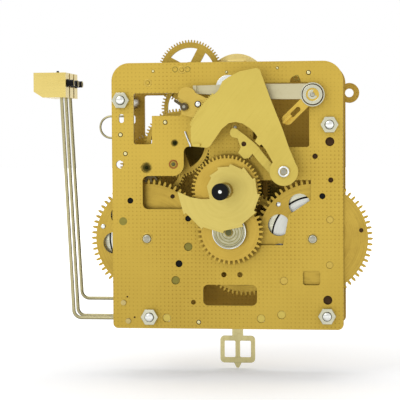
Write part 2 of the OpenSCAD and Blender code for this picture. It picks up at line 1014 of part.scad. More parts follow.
module folded_lever() {
    color(brass)
        difference() {
            union() {
                slab(bar_y + 1, 0.5)
                    difference() {
                        union() {
                            spot(bar_c, 5);
                            strap(bar_c, [27, 31.4], 5);
                        }
                        strap([29.2, 33.4], [31.6, 35.8], 2.2);
                    }
                translate([27, bar_y - 3, 31.4])
                    rotate([0, 45, 0])
                        translate([-0.5, 0, -2.5])
                            cube([1, 4.5, 5]);
            }
            along_y(bar_c, -10, 0, post_r + run_gap);
        }
}

hammer_x_low = -72.9;
hammer_x_high = -78.1;
bend_r = 3.6;

// The leaning upright of a hammer, from its bend to beyond the middle of the head
module upright(y, z, r, past) {
    rise = head_z - z - bend_r;
    translate([hammer_x_low, y, z + bend_r])
        rotate([0, atan2(hammer_x_high - hammer_x_low, rise), 0])
            cylinder(h = rise + past, r = r);
}

// Wire from a hub out to the left, round a bend and up to the head
module hammer_wire(at, y, z, hub_y0, hub_y1, hub_r, bore_r, tail_y, tail_tip) {
    color(steel)
        difference() {
            union() {
                along_y(at, hub_y0, hub_y1, hub_r);
                slab(tail_y, 1)
                    strap(at, tail_tip, 2);
                translate([hammer_x_low + bend_r, y, z])
                    rotate([0, 90, 0])
                        cylinder(h = at[0] - hammer_x_low - bend_r - bore_r - 0.5, r = wire_r);
                translate([hammer_x_low + bend_r, y, z + bend_r])
                    rotate([90, 0, 0])
                        rotate([0, 0, 180])
                            rotate_extrude(angle = 90)
                                translate([bend_r, 0])
                                    circle(wire_r);
                translate([hammer_x_low, y, z + bend_r])
                    sphere(wire_r + 0.02);
                upright(y, z, wire_r, 1);
            }
            along_y(at, hub_y0 - 1, hub_y1 + 1, bore_r);
        }
}

// Brass block with a chamfered lower band, and a soft tip on its right face
module hammer_head(y, z) {
    wire_x = hammer_x_high;
    color(brass)
        difference() {
            slab(y - 3.75, 7.5)
                polygon([[wire_x + 3.1, head_z + 4.4], [wire_x + 3.1, head_z - 7],
                    [wire_x - 7.7, head_z - 7], [wire_x - head_l + 3.1, head_z - 4.3],
                    [wire_x - head_l + 3.1, head_z + 4.4]]);
            upright(y, z, wire_r + 0.02, 1.1);
        }
    color(black)
        translate([wire_x + 3.1, y, head_z - 0.3])
            rotate([0, 90, 0])
                cylinder(h = 3.3, r = 1.4);
}

hub_r = 2.4;
front_hammer_y = 5;
middle_hammer_y = 14.5;
rear_hammer_y = 24;
lower_wire_z = -59.2;
upper_wire_z = -52.1;
lower_tail = [-39.9, -31.9];
upper_tail = [-41, -31.4];

module front_hammer_wire() {
    hammer_wire(lower_hammer_c, front_hammer_y, lower_wire_z, 3.5, 7.5, 3.8, hub_r + run_gap,
        3.5, lower_tail);
}
module middle_hammer_wire() {
    hammer_wire(lower_hammer_c, middle_hammer_y, lower_wire_z, 2.1, 17, hub_r, 1.2 + run_gap,
        2.1, lower_tail);
}
module rear_hammer_wire() {
    hammer_wire(upper_hammer_c, rear_hammer_y, upper_wire_z, 4.8, 26.5, hub_r, 1.2 + run_gap,
        4.8, upper_tail);
}
module front_hammer_head() { hammer_head(front_hammer_y, lower_wire_z); }
module middle_hammer_head() { hammer_head(middle_hammer_y, lower_wire_z); }
module rear_hammer_head() { hammer_head(rear_hammer_y, upper_wire_z); }

front_plate();
back_plate();
pillars();
pillar_nuts();
lever_posts();
suspension_cock();
suspension_block();
hammer_arbors();
wire_loop();
time_great_wheel();
time_great_arbor();
time_click();
time_chain_wheel();
time_second_wheel();
time_second_arbor();
centre_wheel();
centre_arbor();
cannon_pinion();
lifting_cam();
hand_nut();
third_wheel();
third_arbor();
escape_wheel();
escape_arbor();
minute_wheel();
minute_washer();
hour_wheel();
hour_snail();
anchor();
anchor_arbor();
crutch();
pendulum_leader();
suspension_spring();
strike_great_wheel();
strike_great_arbor();
strike_click();
strike_star();
strike_chain_wheel();
strike_second_wheel();
strike_second_arbor();
strike_third_wheel();
strike_third_arbor();
gathering_wheel();
gathering_arbor();
gathering_pallet();
warning_wheel();
warning_arbor();
fly();
rack();
rack_hook();
lifting_lever();
steel_bar();
folded_lever();
front_hammer_wire();
front_hammer_head();
middle_hammer_wire();
middle_hammer_head();
rear_hammer_wire();
rear_hammer_head();
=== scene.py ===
# Looks of a two-train clock movement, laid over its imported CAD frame.
import math

import bmesh
import bpy
from mathutils import Matrix, Vector


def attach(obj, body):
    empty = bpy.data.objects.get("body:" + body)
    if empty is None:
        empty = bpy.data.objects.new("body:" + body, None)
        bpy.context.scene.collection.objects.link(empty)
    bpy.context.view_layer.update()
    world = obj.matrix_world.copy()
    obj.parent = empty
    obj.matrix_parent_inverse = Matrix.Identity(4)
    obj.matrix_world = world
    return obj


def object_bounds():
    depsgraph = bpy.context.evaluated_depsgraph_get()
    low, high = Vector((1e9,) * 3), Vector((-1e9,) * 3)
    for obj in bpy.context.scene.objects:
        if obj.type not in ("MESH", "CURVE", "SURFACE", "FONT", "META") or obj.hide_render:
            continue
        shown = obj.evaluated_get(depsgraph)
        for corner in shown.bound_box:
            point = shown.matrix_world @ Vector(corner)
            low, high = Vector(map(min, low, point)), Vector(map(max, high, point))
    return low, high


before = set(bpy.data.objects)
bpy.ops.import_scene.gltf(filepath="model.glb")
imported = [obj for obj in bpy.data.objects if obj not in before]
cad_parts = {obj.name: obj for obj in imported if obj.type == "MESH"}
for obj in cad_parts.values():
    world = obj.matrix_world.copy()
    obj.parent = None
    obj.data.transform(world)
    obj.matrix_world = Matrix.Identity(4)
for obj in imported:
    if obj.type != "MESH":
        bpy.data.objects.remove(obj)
CAD_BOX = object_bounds()
MM = 0.001

# Places of the arbors and studs, in millimetres right of and above the hand shaft
HAND = (0.0, 0.0)
TIME_GREAT = (37.7, -22.4)
STRIKE_GREAT = (-37.7, -22.4)
TIME_SECOND = (5.474, -25.75)
THIRD = (9.503, 15.287)
ESCAPE = (3.0, 28.0)
ANCHOR = (0.0, 46.0)
MINUTE = (1.2, -18.708)
STRIKE_SECOND = (-37.7, 10.0)
STRIKE_THIRD = (-24.678, 21.161)
GATHERING = (-18.644, 37.214)
WARNING = (-21.09, 54.189)
FLY = (-36.736, 48.494)
RACK = (25.8, 8.2)
HOOK = (-12.5, 38.3)
BAR = (38.2, 42.3)
SPARE_BUSH = (-25.3, 11.5)
CORNERS = ((-49.0, 40.6), (45.5, 28.9), (-36.4, -57.9), (44.2, -57.0))
FRONT = 0.0
BACK = 33.0

# Kinds of socket
FLOAT = "NodeSocketFloat"
VECTOR = "NodeSocketVector"
COLOUR = "NodeSocketColor"
GEOMETRY = "NodeSocketGeometry"
MATERIAL = "NodeSocketMaterial"


def linear(red, green, blue):
    """A colour read off a screen, as the light values that Blender works in."""
    def one(v):
        v /= 255.0
        return v / 12.92 if v <= 0.04045 else ((v + 0.055) / 1.055) ** 2.4
    return (one(red), one(green), one(blue), 1.0)


# Colours of the metals, each with the deeper one that its stains and grain take, and that the painted shade
# on the dim side darkens further
GOLD = linear(192, 164, 72)
GOLD_DEEP = linear(172, 142, 58)
PALE_GOLD = linear(195, 175, 88)
PALE_DEEP = linear(180, 158, 74)
WARM_GOLD = linear(200, 170, 76)
WARM_DEEP = linear(150, 110, 34)
STEEL = linear(164, 162, 146)
STEEL_DEEP = linear(100, 94, 80)
BRIGHT = linear(206, 207, 200)
BRIGHT_DEEP = linear(160, 160, 148)
WIRE = linear(170, 162, 124)
WIRE_DEEP = linear(136, 126, 90)
# Painted highlight on the front end of the hour pipe
PIPE_END_HIGHLIGHT = linear(224, 222, 206)

# Colour of the oil, also used for painted shade; of the painted shadow round the front wheels; and of the
# painted shade in the dimples and on the edges of the plates
OIL_AND_SHADE = linear(34, 36, 14)
WHEEL_SHADOW_BROWN = linear(92, 66, 20)
DIMPLE_SHADE_BROWN = linear(124, 94, 30)
EDGE_SHADE_BROWN = linear(132, 104, 42)


def flat_point(centre):
    """A place on the plates, in metres."""
    return (centre[0] * MM, 0.0, centre[1] * MM)


def fill(tree, socket, value):
    """Gives an input a plain value, or joins another node's output to it."""
    if isinstance(value, bpy.types.NodeSocket):
        tree.links.new(value, socket)
    else:
        socket.default_value = value


def node(tree, kind, inputs=None, **settings):
    """A new node with its settings, and with the inputs that are given filled."""
    made = tree.nodes.new(kind)
    for name, value in settings.items():
        setattr(made, name, value)
    for label, value in (inputs or {}).items():
        fill(tree, made.inputs[label], value)
    return made


def math_node(tree, operation, first, second=None, clamp=False):
    """The result of a Math node on sockets or plain numbers."""
    inputs = {0: first} if second is None else {0: first, 1: second}
    return node(tree, "ShaderNodeMath", inputs, operation=operation, use_clamp=clamp).outputs[0]


def multiply(tree, first, second):
    """The product of two sockets or plain numbers."""
    return math_node(tree, "MULTIPLY", first, second)


def vector_math(tree, operation, first, second=None, output="Vector"):
    """The result of a Vector Math node, a vector unless another output is named."""
    inputs = {0: first} if second is None else {0: first, 1: second}
    return node(tree, "ShaderNodeVectorMath", inputs, operation=operation).outputs[output]


def combine(tree, **parts):
    """A vector of the sockets or plain numbers given as X, Y and Z."""
    return node(tree, "ShaderNodeCombineXYZ", parts).outputs["Vector"]


def separate(tree, vector):
    """The X, Y and Z outputs of a vector."""
    return node(tree, "ShaderNodeSeparateXYZ", {"Vector": vector}).outputs


def remap(tree, value, low, high, to_low, to_high):
    """Carries one range of values on to another, and stops at its ends."""
    inputs = {"Value": value, "From Min": low, "From Max": high, "To Min": to_low, "To Max": to_high}
    return node(tree, "ShaderNodeMapRange", inputs, clamp=True).outputs["Result"]


def fade_in(tree, value, low, high):
    """A mask that rises from nothing to full between two values."""
    return remap(tree, value, low, high, 0.0, 1.0)


def fade_out(tree, value, low, high):
    """A mask that falls from full to nothing between two values."""
    return remap(tree, value, low, high, 1.0, 0.0)


def blend_colour(tree, amount, first, second):
    """Mixes two colours, each a socket or a plain colour."""
    inputs = {"Factor": amount, 6: first, 7: second}
    return node(tree, "ShaderNodeMix", inputs, data_type="RGBA").outputs[2]


def noise(tree, place, scale, detail=2.0, roughness=0.5):
    """The value of a Noise texture read at a place."""
    inputs = {"Vector": place, "Scale": scale, "Detail": detail, "Roughness": roughness}
    return node(tree, "ShaderNodeTexNoise", inputs).outputs["Fac"]


def new_group(name, inputs, outputs):
    """An empty shader node group, the outputs of its input node and the inputs of its output node."""
    tree = bpy.data.node_groups.new(name, "ShaderNodeTree")
    for label, kind, value in inputs:
        made = tree.interface.new_socket(label, in_out="INPUT", socket_type=kind)
        if value is not None:
            made.default_value = value
    for label, kind in outputs:
        tree.interface.new_socket(label, in_out="OUTPUT", socket_type=kind)
    return tree, node(tree, "NodeGroupInput").outputs, node(tree, "NodeGroupOutput").inputs


# How fine the noise is, in cells to a metre, and for the breaks to a radian round an arbor
SPECK_SCALE = 900.0
RAGGED_SCALE = 1100.0
WORN_SCALE = 30.0
RING_BREAKS = 1.3


def build_metal_tone():
    """Slow changes of colour over a sheet of metal, with fine specks and faint dark stains."""
    tree, given, out = new_group(
        "Metal tone",
        [("Place", VECTOR, None), ("Base", COLOUR, (0.6, 0.4, 0.1, 1)),
         ("Deep", COLOUR, (0.4, 0.25, 0.05, 1)), ("Bloom size", FLOAT, 40.0), ("Bloom", FLOAT, 0.5),
         ("Specks", FLOAT, 0.15)],
        [("Colour", COLOUR), ("Stain", FLOAT)])
    slow = noise(tree, given["Place"], given["Bloom size"], detail=3.0, roughness=0.55)
    fine = noise(tree, given["Place"], SPECK_SCALE)
    bloom = multiply(tree, fade_in(tree, slow, 0.38, 0.72), given["Bloom"])
    specks = multiply(tree, fade_in(tree, fine, 0.56, 0.74), given["Specks"])
    stain = math_node(tree, "ADD", bloom, specks, clamp=True)
    fill(tree, out["Colour"], blend_colour(tree, stain, given["Base"], given["Deep"]))
    fill(tree, out["Stain"], stain)
    return tree


def build_drawn_grain():
    """Fine lines left by rolling or brushing, as a height that runs along one direction."""
    tree, given, out = new_group(
        "Drawn grain",
        [("Place", VECTOR, None), ("Across", FLOAT, 1400.0), ("Along", FLOAT, 60.0), ("Turn", FLOAT, 0.0)],
        [("Height", FLOAT), ("Streak", FLOAT)])
    turned = node(tree, "ShaderNodeVectorRotate", {"Vector": given["Place"], "Angle": given["Turn"]},
                  rotation_type="Y_AXIS").outputs["Vector"]
    stretch = combine(tree, X=given["Along"], Y=given["Across"], Z=given["Across"])
    lines = noise(tree, vector_math(tree, "MULTIPLY", turned, stretch), 1.0, detail=3.0, roughness=0.6)
    fill(tree, out["Height"], lines)
    fill(tree, out["Streak"], fade_in(tree, lines, 0.35, 0.7))
    return tree


def across_plate(tree, given):
    """The way from the Middle input to the place, and its length seen square to the plates."""
    away = vector_math(tree, "SUBTRACT", given["Place"], given["Middle"])
    flat = vector_math(tree, "MULTIPLY", away, (1.0, 0.0, 1.0))
    return away, vector_math(tree, "LENGTH", flat, output="Value")


def build_turned_rings():
    """Rings left by a lathe round one arbor, uneven from ring to ring and broken a little along them."""
    tree, given, out = new_group(
        "Turned rings",
        [("Place", VECTOR, None), ("Middle", VECTOR, (0, 0, 0)), ("Fineness", FLOAT, 2600.0)],
        [("Height", FLOAT), ("Ring", FLOAT)])
    away, reach = across_plate(tree, given)
    sides = separate(tree, away)
    bearing = math_node(tree, "ARCTAN2", sides["Z"], sides["X"])
    polar = combine(tree, X=multiply(tree, reach, given["Fineness"]), Y=multiply(tree, bearing, RING_BREAKS))
    rings = noise(tree, polar, 1.0)
    fill(tree, out["Height"], rings)
    fill(tree, out["Ring"], fade_in(tree, rings, 0.35, 0.68))
    return tree


def build_shadow_ring():
    """A soft ring about one place on the plates, as painted shadow under the teeth of a wheel."""
    tree, given, out = new_group(
        "Shadow ring",
        [("Place", VECTOR, None), ("Middle", VECTOR, (0, 0, 0)), ("Reach", FLOAT, 0.02),
         ("Width", FLOAT, 0.002)],
        [("Mask", FLOAT)])
    reach = across_plate(tree, given)[1]
    off = math_node(tree, "ABSOLUTE", math_node(tree, "SUBTRACT", reach, given["Reach"]))
    fill(tree, out["Mask"], fade_out(tree, math_node(tree, "DIVIDE", off, given["Width"]), 0.3, 1.0))
    return tree


def build_round_stain():
    """A soft round mask about one place on the plates, uneven at its edge."""
    tree, given, out = new_group(
        "Round stain",
        [("Place", VECTOR, None), ("Middle", VECTOR, (0, 0, 0)), ("Reach", FLOAT, 0.002)],
        [("Mask", FLOAT)])
    reach = across_plate(tree, given)[1]
    ragged = remap(tree, noise(tree, given["Place"], RAGGED_SCALE), 0.3, 0.7, 0.85, 1.1)
    ratio = math_node(tree, "DIVIDE", reach, multiply(tree, given["Reach"], ragged))
    fill(tree, out["Mask"], fade_out(tree, ratio, 0.55, 1.0))
    return tree


def build_dimple_grid():
    """Small round dents in straight rows over a flat plate, worn faint in places, as a depth and a mask."""
    tree, given, out = new_group(
        "Dimple grid",
        [("Place", VECTOR, None), ("Pitch", FLOAT, 0.0018), ("Size", FLOAT, 0.24)],
        [("Height", FLOAT), ("Dent", FLOAT)])
    place = separate(tree, given["Place"])
    squares = []
    for axis in ("X", "Z"):
        part = math_node(tree, "FRACT", math_node(tree, "DIVIDE", place[axis], given["Pitch"]))
        centred = math_node(tree, "SUBTRACT", part, 0.5)
        squares.append(multiply(tree, centred, centred))
    distance = math_node(tree, "SQRT", math_node(tree, "ADD", squares[0], squares[1]))
    bowl = math_node(tree, "MINIMUM", math_node(tree, "DIVIDE", distance, given["Size"]), 1.0)
    depth = math_node(tree, "SUBTRACT", 1.0, multiply(tree, bowl, bowl))
    left = remap(tree, noise(tree, given["Place"], WORN_SCALE), 0.36, 0.62, 0.25, 1.0)
    dent = multiply(tree, depth, left)
    fill(tree, out["Height"], math_node(tree, "SUBTRACT", 1.0, dent))
    fill(tree, out["Dent"], dent)
    return tree


# The way, down and to the left, of the faces that get painted shade on the dim side
DIM_SIDE = (-0.55, 0.1, -0.83)


def build_facing():
    """Masks of the faces that a normal turns to the front, square to the plates, or to the dim side, down and
    to the left, where shade is painted.
    """
    tree, given, out = new_group(
        "Facing", [("Normal", VECTOR, None)], [("Front", FLOAT), ("Flank", FLOAT), ("Dim side", FLOAT)])
    forward = separate(tree, given["Normal"])["Y"]
    towards = vector_math(tree, "DOT_PRODUCT", given["Normal"], DIM_SIDE, output="Value")
    fill(tree, out["Front"], fade_out(tree, forward, -0.8, -0.3))
    fill(tree, out["Flank"], fade_out(tree, math_node(tree, "ABSOLUTE", forward), 0.3, 0.8))
    fill(tree, out["Dim side"], fade_in(tree, towards, 0.15, 0.85))
    return tree


METAL_TONE = build_metal_tone()
DRAWN_GRAIN = build_drawn_grain()
TURNED_RINGS = build_turned_rings()
DIMPLE_GRID = build_dimple_grid()
ROUND_STAIN = build_round_stain()
SHADOW_RING = build_shadow_ring()
FACING = build_facing()

# Depths of the fine marks in metres, for the Bump nodes
GRAIN_DEPTH = 0.0000015
RING_DEPTH = 0.000002
DIMPLE_DEPTH = 0.00005
RUB_DEPTH = 0.00001

# How far the front end's colour fades into an arbor, in millimetres
END_FADE = 0.3

# How strongly the grain tints a sheet, and what is left of a colour in the painted shade on the dim side
STREAK_TONE = 0.07
DIM_TONE = 0.25


def place_group(tree, group, place, **values):
    """The outputs of a group placed in a material, with its inputs set."""
    inputs = {name.replace("_", " "): value for name, value in values.items()}
    return node(tree, "ShaderNodeGroup", {"Place": place, **inputs}, node_tree=group).outputs


def facing(tree, mask):
    """One of the masks that read a face's own normal."""
    normal = node(tree, "ShaderNodeTexCoord").outputs["Normal"]
    return node(tree, "ShaderNodeGroup", {"Normal": normal}, node_tree=FACING).outputs[mask]


def tint(tree, colour, mask, strength, other):
    """Lays another colour over a colour, where a mask is and as strongly as asked."""
    return blend_colour(tree, multiply(tree, mask, strength), colour, other)


def shade_dim_side(tree, colour, deep, strength):
    """Paints shade into a colour on the faces that look to the dim side, down and to the left."""
    dark = tuple(part * DIM_TONE for part in deep[:3]) + (1.0,)
    return tint(tree, colour, facing(tree, "Dim side"), strength, dark)


def new_metal(name, metallic=1.0):
    """A material, its tree, its Principled shader's inputs and the Object coordinates for its pattern."""
    material = bpy.data.materials.new(name)
    material.use_nodes = True
    tree = material.node_tree
    shader = tree.nodes["Principled BSDF"].inputs
    fill(tree, shader["Metallic"], metallic)
    return material, tree, shader, node(tree, "ShaderNodeTexCoord").outputs["Object"]


def add_bump(tree, shader, heights):
    """Chains one Bump node for each (height socket, depth in metres) into the shader's normal."""
    normal = None
    for height, depth in heights:
        bump = node(tree, "ShaderNodeBump", {"Strength": 1.0, "Distance": depth, "Height": height})
        if normal is not None:
            fill(tree, bump.inputs["Normal"], normal)
        normal = bump.outputs["Normal"]
    fill(tree, shader["Normal"], normal)


def sheet_metal(name, base, deep, rough, turn=0.0, bloom=0.4, across=1400.0, shade=0.6):
    """Rolled or brushed sheet: a slow bloom, specks, and grain along one direction."""
    material, tree, shader, place = new_metal(name)
    tone = place_group(tree, METAL_TONE, place, Base=base, Deep=deep, Bloom=bloom)
    drawn = place_group(tree, DRAWN_GRAIN, place, Turn=turn, Across=across)
    colour = tint(tree, tone["Colour"], drawn["Streak"], STREAK_TONE, deep)
    # Painted shade on the faces that look down and to the left
    fill(tree, shader["Base Color"], shade_dim_side(tree, colour, deep, shade))
    streaked = remap(tree, drawn["Streak"], 0.0, 1.0, rough - 0.05, rough + 0.07)
    fill(tree, shader["Roughness"], math_node(tree, "ADD", streaked, multiply(tree, tone["Stain"], 0.1)))
    add_bump(tree, shader, [(drawn["Height"], GRAIN_DEPTH)])
    return material


def turned_metal(name, base, deep, rough, middle, fineness=2600.0, contrast=0.16, flank=0.0, end=None):
    """Metal turned round one arbor, with painted shade on its flanks, and a front end in another colour where
    asked.
    """
    material, tree, shader, place = new_metal(name)
    tone = place_group(tree, METAL_TONE, place, Base=base, Deep=deep, Bloom=0.3, Bloom_size=70.0)
    rings = place_group(tree, TURNED_RINGS, place, Middle=flat_point(middle), Fineness=fineness)
    colour = tint(tree, tone["Colour"], rings["Ring"], contrast, deep)
    # Painted shade on the faces that look down and to the left
    colour = shade_dim_side(tree, colour, deep, 0.6)
    # Painted shade on the flanks, the faces square to the plates, dark as between the teeth
    if flank > 0:
        colour = tint(tree, colour, facing(tree, "Flank"), flank, OIL_AND_SHADE)
    if end is not None:
        end_colour, end_depth = end
        depth = separate(tree, place)["Y"]
        front_end = fade_out(tree, depth, end_depth * MM, (end_depth + END_FADE) * MM)
        colour = blend_colour(tree, front_end, colour, end_colour)
    fill(tree, shader["Base Color"], colour)
    fill(tree, shader["Roughness"], remap(tree, rings["Ring"], 0.0, 1.0, rough - 0.05, rough + 0.08))
    add_bump(tree, shader, [(rings["Height"], RING_DEPTH)])
    return material


def plate_material(name, base, deep, oil_and_shade_spots=(), shadow_rings=()):
    """Plate brass: worn rows of dimples with painted shade in them over a satin ground, spots of oil and of
    painted shade on its front, painted shadow rings, and painted shade on its edges.
    """
    material, tree, shader, place = new_metal(name, 0.96)
    tone = place_group(tree, METAL_TONE, place, Base=base, Deep=deep, Bloom=0.5, Bloom_size=16.0, Specks=0.06)
    dents = place_group(tree, DIMPLE_GRID, place)
    drawn = place_group(tree, DRAWN_GRAIN, place, Turn=math.pi / 2)
    # Painted shade in the dimples
    colour = tint(tree, tone["Colour"], dents["Dent"], 0.5, DIMPLE_SHADE_BROWN)
    front = facing(tree, "Front")
    # Spots of oil on the front plate, and of painted shade inside the back plate
    for centre, reach, strength in oil_and_shade_spots:
        spot = place_group(tree, ROUND_STAIN, place, Middle=flat_point(centre), Reach=reach * MM)
        colour = tint(tree, colour, multiply(tree, spot["Mask"], front), strength, OIL_AND_SHADE)
    # Painted shadow rings under the teeth of the front wheels
    for centre, radius, width, strength in shadow_rings:
        ring = place_group(tree, SHADOW_RING, place, Middle=flat_point(centre), Reach=radius * MM,
                           Width=width * MM)
        colour = tint(tree, colour, ring["Mask"], strength, WHEEL_SHADOW_BROWN)
    # Painted shade on the edges of the plate, the faces square to it
    colour = tint(tree, colour, facing(tree, "Flank"), 0.6, EDGE_SHADE_BROWN)
    # Painted shade on the plate's faces that look down and to the left
    fill(tree, shader["Base Color"], shade_dim_side(tree, colour, EDGE_SHADE_BROWN, 0.8))
    fill(tree, shader["Roughness"], remap(tree, drawn["Streak"], 0.0, 1.0, 0.42, 0.5))
    add_bump(tree, shader, [(dents["Height"], DIMPLE_DEPTH), (drawn["Height"], GRAIN_DEPTH)])
    return material


def black_material(name, base, rub):
    """Blackened steel or hard rubber with a fine tooth and faint paler rubs."""
    material, tree, shader, place = new_metal(name, 0.0)
    fill(tree, shader["Specular IOR Level"], 0.12)
    tone = place_group(tree, METAL_TONE, place, Base=base, Deep=rub, Bloom=0.5, Bloom_size=260.0, Specks=0.4)
    fill(tree, shader["Base Color"], tone["Colour"])
    fill(tree, shader["Roughness"], remap(tree, tone["Stain"], 0.0, 1.0, 0.34, 0.55))
    add_bump(tree, shader, [(tone["Stain"], RUB_DEPTH)])
    return material


# Oil and dirt round the pivots of the front plate, as place, reach in millimetres and strength
OILED_PLACES = (
    (STRIKE_SECOND, 2.9, 0.9), (STRIKE_THIRD, 1.9, 0.95), (TIME_GREAT, 2.7, 0.4), (STRIKE_GREAT, 2.7, 0.4),
    (TIME_SECOND, 1.9, 0.3), (SPARE_BUSH, 2.6, 0.35),
)

# Painted shade inside the back plate, behind the busiest parts of the trains, given the same way
INSIDE_SHADE = (((15.5, -6.0), 11.0, 0.8), ((-17.8, 19.0), 11.0, 0.75), ((-33.0, 12.0), 6.0, 0.5))

# Painted shadow under the teeth of the front wheels, as place, radius, width and strength
WHEEL_SHADOW_RINGS = ((MINUTE, 14.1, 1.5, 0.6), (HAND, 15.1, 1.6, 0.6))

# Finishes
PLATE_BRASS = plate_material("Dimpled plate brass", GOLD, GOLD_DEEP, OILED_PLACES, WHEEL_SHADOW_RINGS)
BACK_BRASS = plate_material("Back plate brass", linear(176, 144, 62), linear(134, 102, 38), INSIDE_SHADE)
BLACK = black_material("Black nut and tips", linear(7, 8, 8), linear(20, 20, 18))
# Dark brown for hole bottoms, pegs and a rivet, and for the painted shadows round pins, the hook's stud and
# the bar's washer
BROWN_DEPTH = black_material("Dark brown and painted shadows", linear(74, 50, 22), linear(38, 24, 10))
BAR_NICKEL = sheet_metal("Nickel bar", linear(188, 180, 146), linear(168, 158, 120), 0.34)
LEVER_BRASS = sheet_metal("Pale lever brass", PALE_GOLD, PALE_DEEP, 0.42, turn=0.9)
HOOK_BRASS = sheet_metal("Pale hook brass", linear(194, 168, 82), linear(172, 144, 64), 0.4, turn=0.3)
LEADER_BRASS = sheet_metal("Leader brass", linear(220, 212, 158), linear(160, 140, 84), 0.32, turn=1.57)
COCK_BRASS = sheet_metal("Cock brass", linear(228, 208, 138), linear(184, 156, 80), 0.36, turn=1.57)
FOLDED_BRASS = sheet_metal("Folded lever brass", WARM_GOLD, WARM_DEEP, 0.3, turn=0.7)
HEAD_BRASS = sheet_metal("Hammer head brass", linear(214, 194, 118), linear(190, 164, 84), 0.28)
WIRE_STEEL = sheet_metal("Drawn wire", WIRE, WIRE_DEEP, 0.28, bloom=0.15, across=9000.0, shade=0.9)
DARK_STEEL = sheet_metal("Grey steel", STEEL, STEEL_DEEP, 0.32, turn=1.57)
NUT_NICKEL = sheet_metal("Nickel nuts", linear(194, 193, 172), linear(142, 139, 114), 0.24, bloom=0.3)
END_NICKEL = sheet_metal("Bright stud ends", linear(224, 226, 222), linear(176, 180, 172), 0.2, shade=0.8)
SHADOW_STEEL = sheet_metal("Dull dark steel", linear(92, 82, 60), linear(52, 44, 28), 0.4, shade=0.8)
SPRING_STEEL = sheet_metal("Spring steel", linear(170, 174, 178), linear(110, 112, 116), 0.24, turn=1.57)
PILLAR_STEEL = sheet_metal("Turned pillars", linear(176, 172, 158), linear(112, 106, 90), 0.28, turn=1.57)
PIN_BRASS = sheet_metal("Pin ends", linear(188, 170, 112), linear(120, 98, 46), 0.32)
GREEN_BRASS = sheet_metal("Oiled brass fillings", linear(136, 128, 62), linear(104, 92, 42), 0.5)
COPPER = sheet_metal("Copper bush", linear(152, 92, 52), linear(104, 52, 28), 0.4)
OILY_SCREW = sheet_metal("Oily screw", linear(92, 92, 60), linear(48, 46, 24), 0.4, shade=0.8)

# The nodes of each plain finish
PLAIN_FINISHES = {
    PLATE_BRASS: ["front_plate"],
    BACK_BRASS: ["back_plate"],
    BLACK: ["hand_nut"],
    BAR_NICKEL: ["steel_bar"],
    LEVER_BRASS: ["rack", "lifting_lever"],
    HOOK_BRASS: ["rack_hook", "lever_posts"],
    LEADER_BRASS: ["pendulum_leader"],
    COCK_BRASS: ["suspension_cock", "suspension_block"],
    FOLDED_BRASS: ["folded_lever"],
    HEAD_BRASS: ["front_hammer_head", "middle_hammer_head", "rear_hammer_head"],
    WIRE_STEEL: ["front_hammer_wire", "middle_hammer_wire", "rear_hammer_wire", "wire_loop", "crutch"],
    DARK_STEEL: ["anchor", "time_click", "strike_click"],
    SHADOW_STEEL: ["gathering_pallet"],
    NUT_NICKEL: ["pillar_nuts"],
    PIN_BRASS: ["hammer_arbors"],
    SPRING_STEEL: ["suspension_spring"],
    PILLAR_STEEL: ["pillars"],
}

# The nodes of each turned finish, with the arbor that each turns on. The centre wheel, deep between the
# plates, is painted darker than the other wheels as shade.
TRAIN_WHEELS = {
    "time_great_wheel": TIME_GREAT, "strike_great_wheel": STRIKE_GREAT, "time_second_wheel": TIME_SECOND,
    "third_wheel": THIRD, "escape_wheel": ESCAPE, "strike_second_wheel": STRIKE_SECOND,
    "strike_third_wheel": STRIKE_THIRD, "gathering_wheel": GATHERING, "warning_wheel": WARNING,
}
STEEL_ARBORS = {
    "time_great_arbor": TIME_GREAT, "strike_great_arbor": STRIKE_GREAT, "time_second_arbor": TIME_SECOND,
    "centre_arbor": HAND, "third_arbor": THIRD, "escape_arbor": ESCAPE, "anchor_arbor": ANCHOR,
    "gathering_arbor": GATHERING, "strike_star": STRIKE_GREAT,
}
TURNED_FINISHES = (
    ("Wheel brass", TRAIN_WHEELS,
     dict(base=linear(182, 154, 68), deep=linear(128, 100, 40), rough=0.34, flank=0.8)),
    # The centre wheel's darker brass is painted shade
    ("Wheel brass", {"centre_wheel": HAND},
     dict(base=linear(120, 94, 38), deep=linear(78, 54, 20), rough=0.34, flank=0.8)),
    # The hour pipe's front end is a painted highlight, bright like nickel
    ("Motion brass", {"cannon_pinion": HAND, "lifting_cam": HAND, "minute_wheel": MINUTE, "hour_wheel": HAND},
     dict(base=linear(186, 157, 70), deep=linear(162, 130, 52), rough=0.36, contrast=0.1, flank=0.5,
          end=(PIPE_END_HIGHLIGHT, -23.6))),
    ("Arbor steel", STEEL_ARBORS, dict(base=STEEL, deep=STEEL_DEEP, rough=0.26)),
    # The strike arbors between the plates are painted dark as shade, with oil on their front ends
    ("Shaded and oiled steel", {"strike_second_arbor": STRIKE_SECOND, "strike_third_arbor": STRIKE_THIRD},
     dict(base=linear(100, 90, 66), deep=linear(56, 46, 28), rough=0.34, end=(OIL_AND_SHADE, 0.6))),
    ("Lacquered end", {"warning_arbor": WARNING, "fly": FLY},
     dict(base=BRIGHT, deep=BRIGHT_DEEP, rough=0.32, fineness=1400.0, contrast=0.12, end=(GOLD, 0.2))),
    ("Bright disc", {"time_chain_wheel": TIME_GREAT, "strike_chain_wheel": STRIKE_GREAT},
     dict(base=BRIGHT, deep=BRIGHT_DEEP, rough=0.32, fineness=1400.0, contrast=0.12)),
)
WASHER_NICKEL = turned_metal("Grooved washer", linear(170, 166, 136), linear(122, 116, 82), 0.26, MINUTE,
                             fineness=900.0, contrast=0.3)
SNAIL_BRASS = turned_metal("Snail brass", linear(198, 180, 100), linear(190, 170, 90), 0.44, HAND,
                           fineness=900.0, contrast=0.06)


def finish_cad(name, material):
    """Gives every material slot of a CAD node one finish."""
    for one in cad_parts[name].material_slots:
        one.material = material


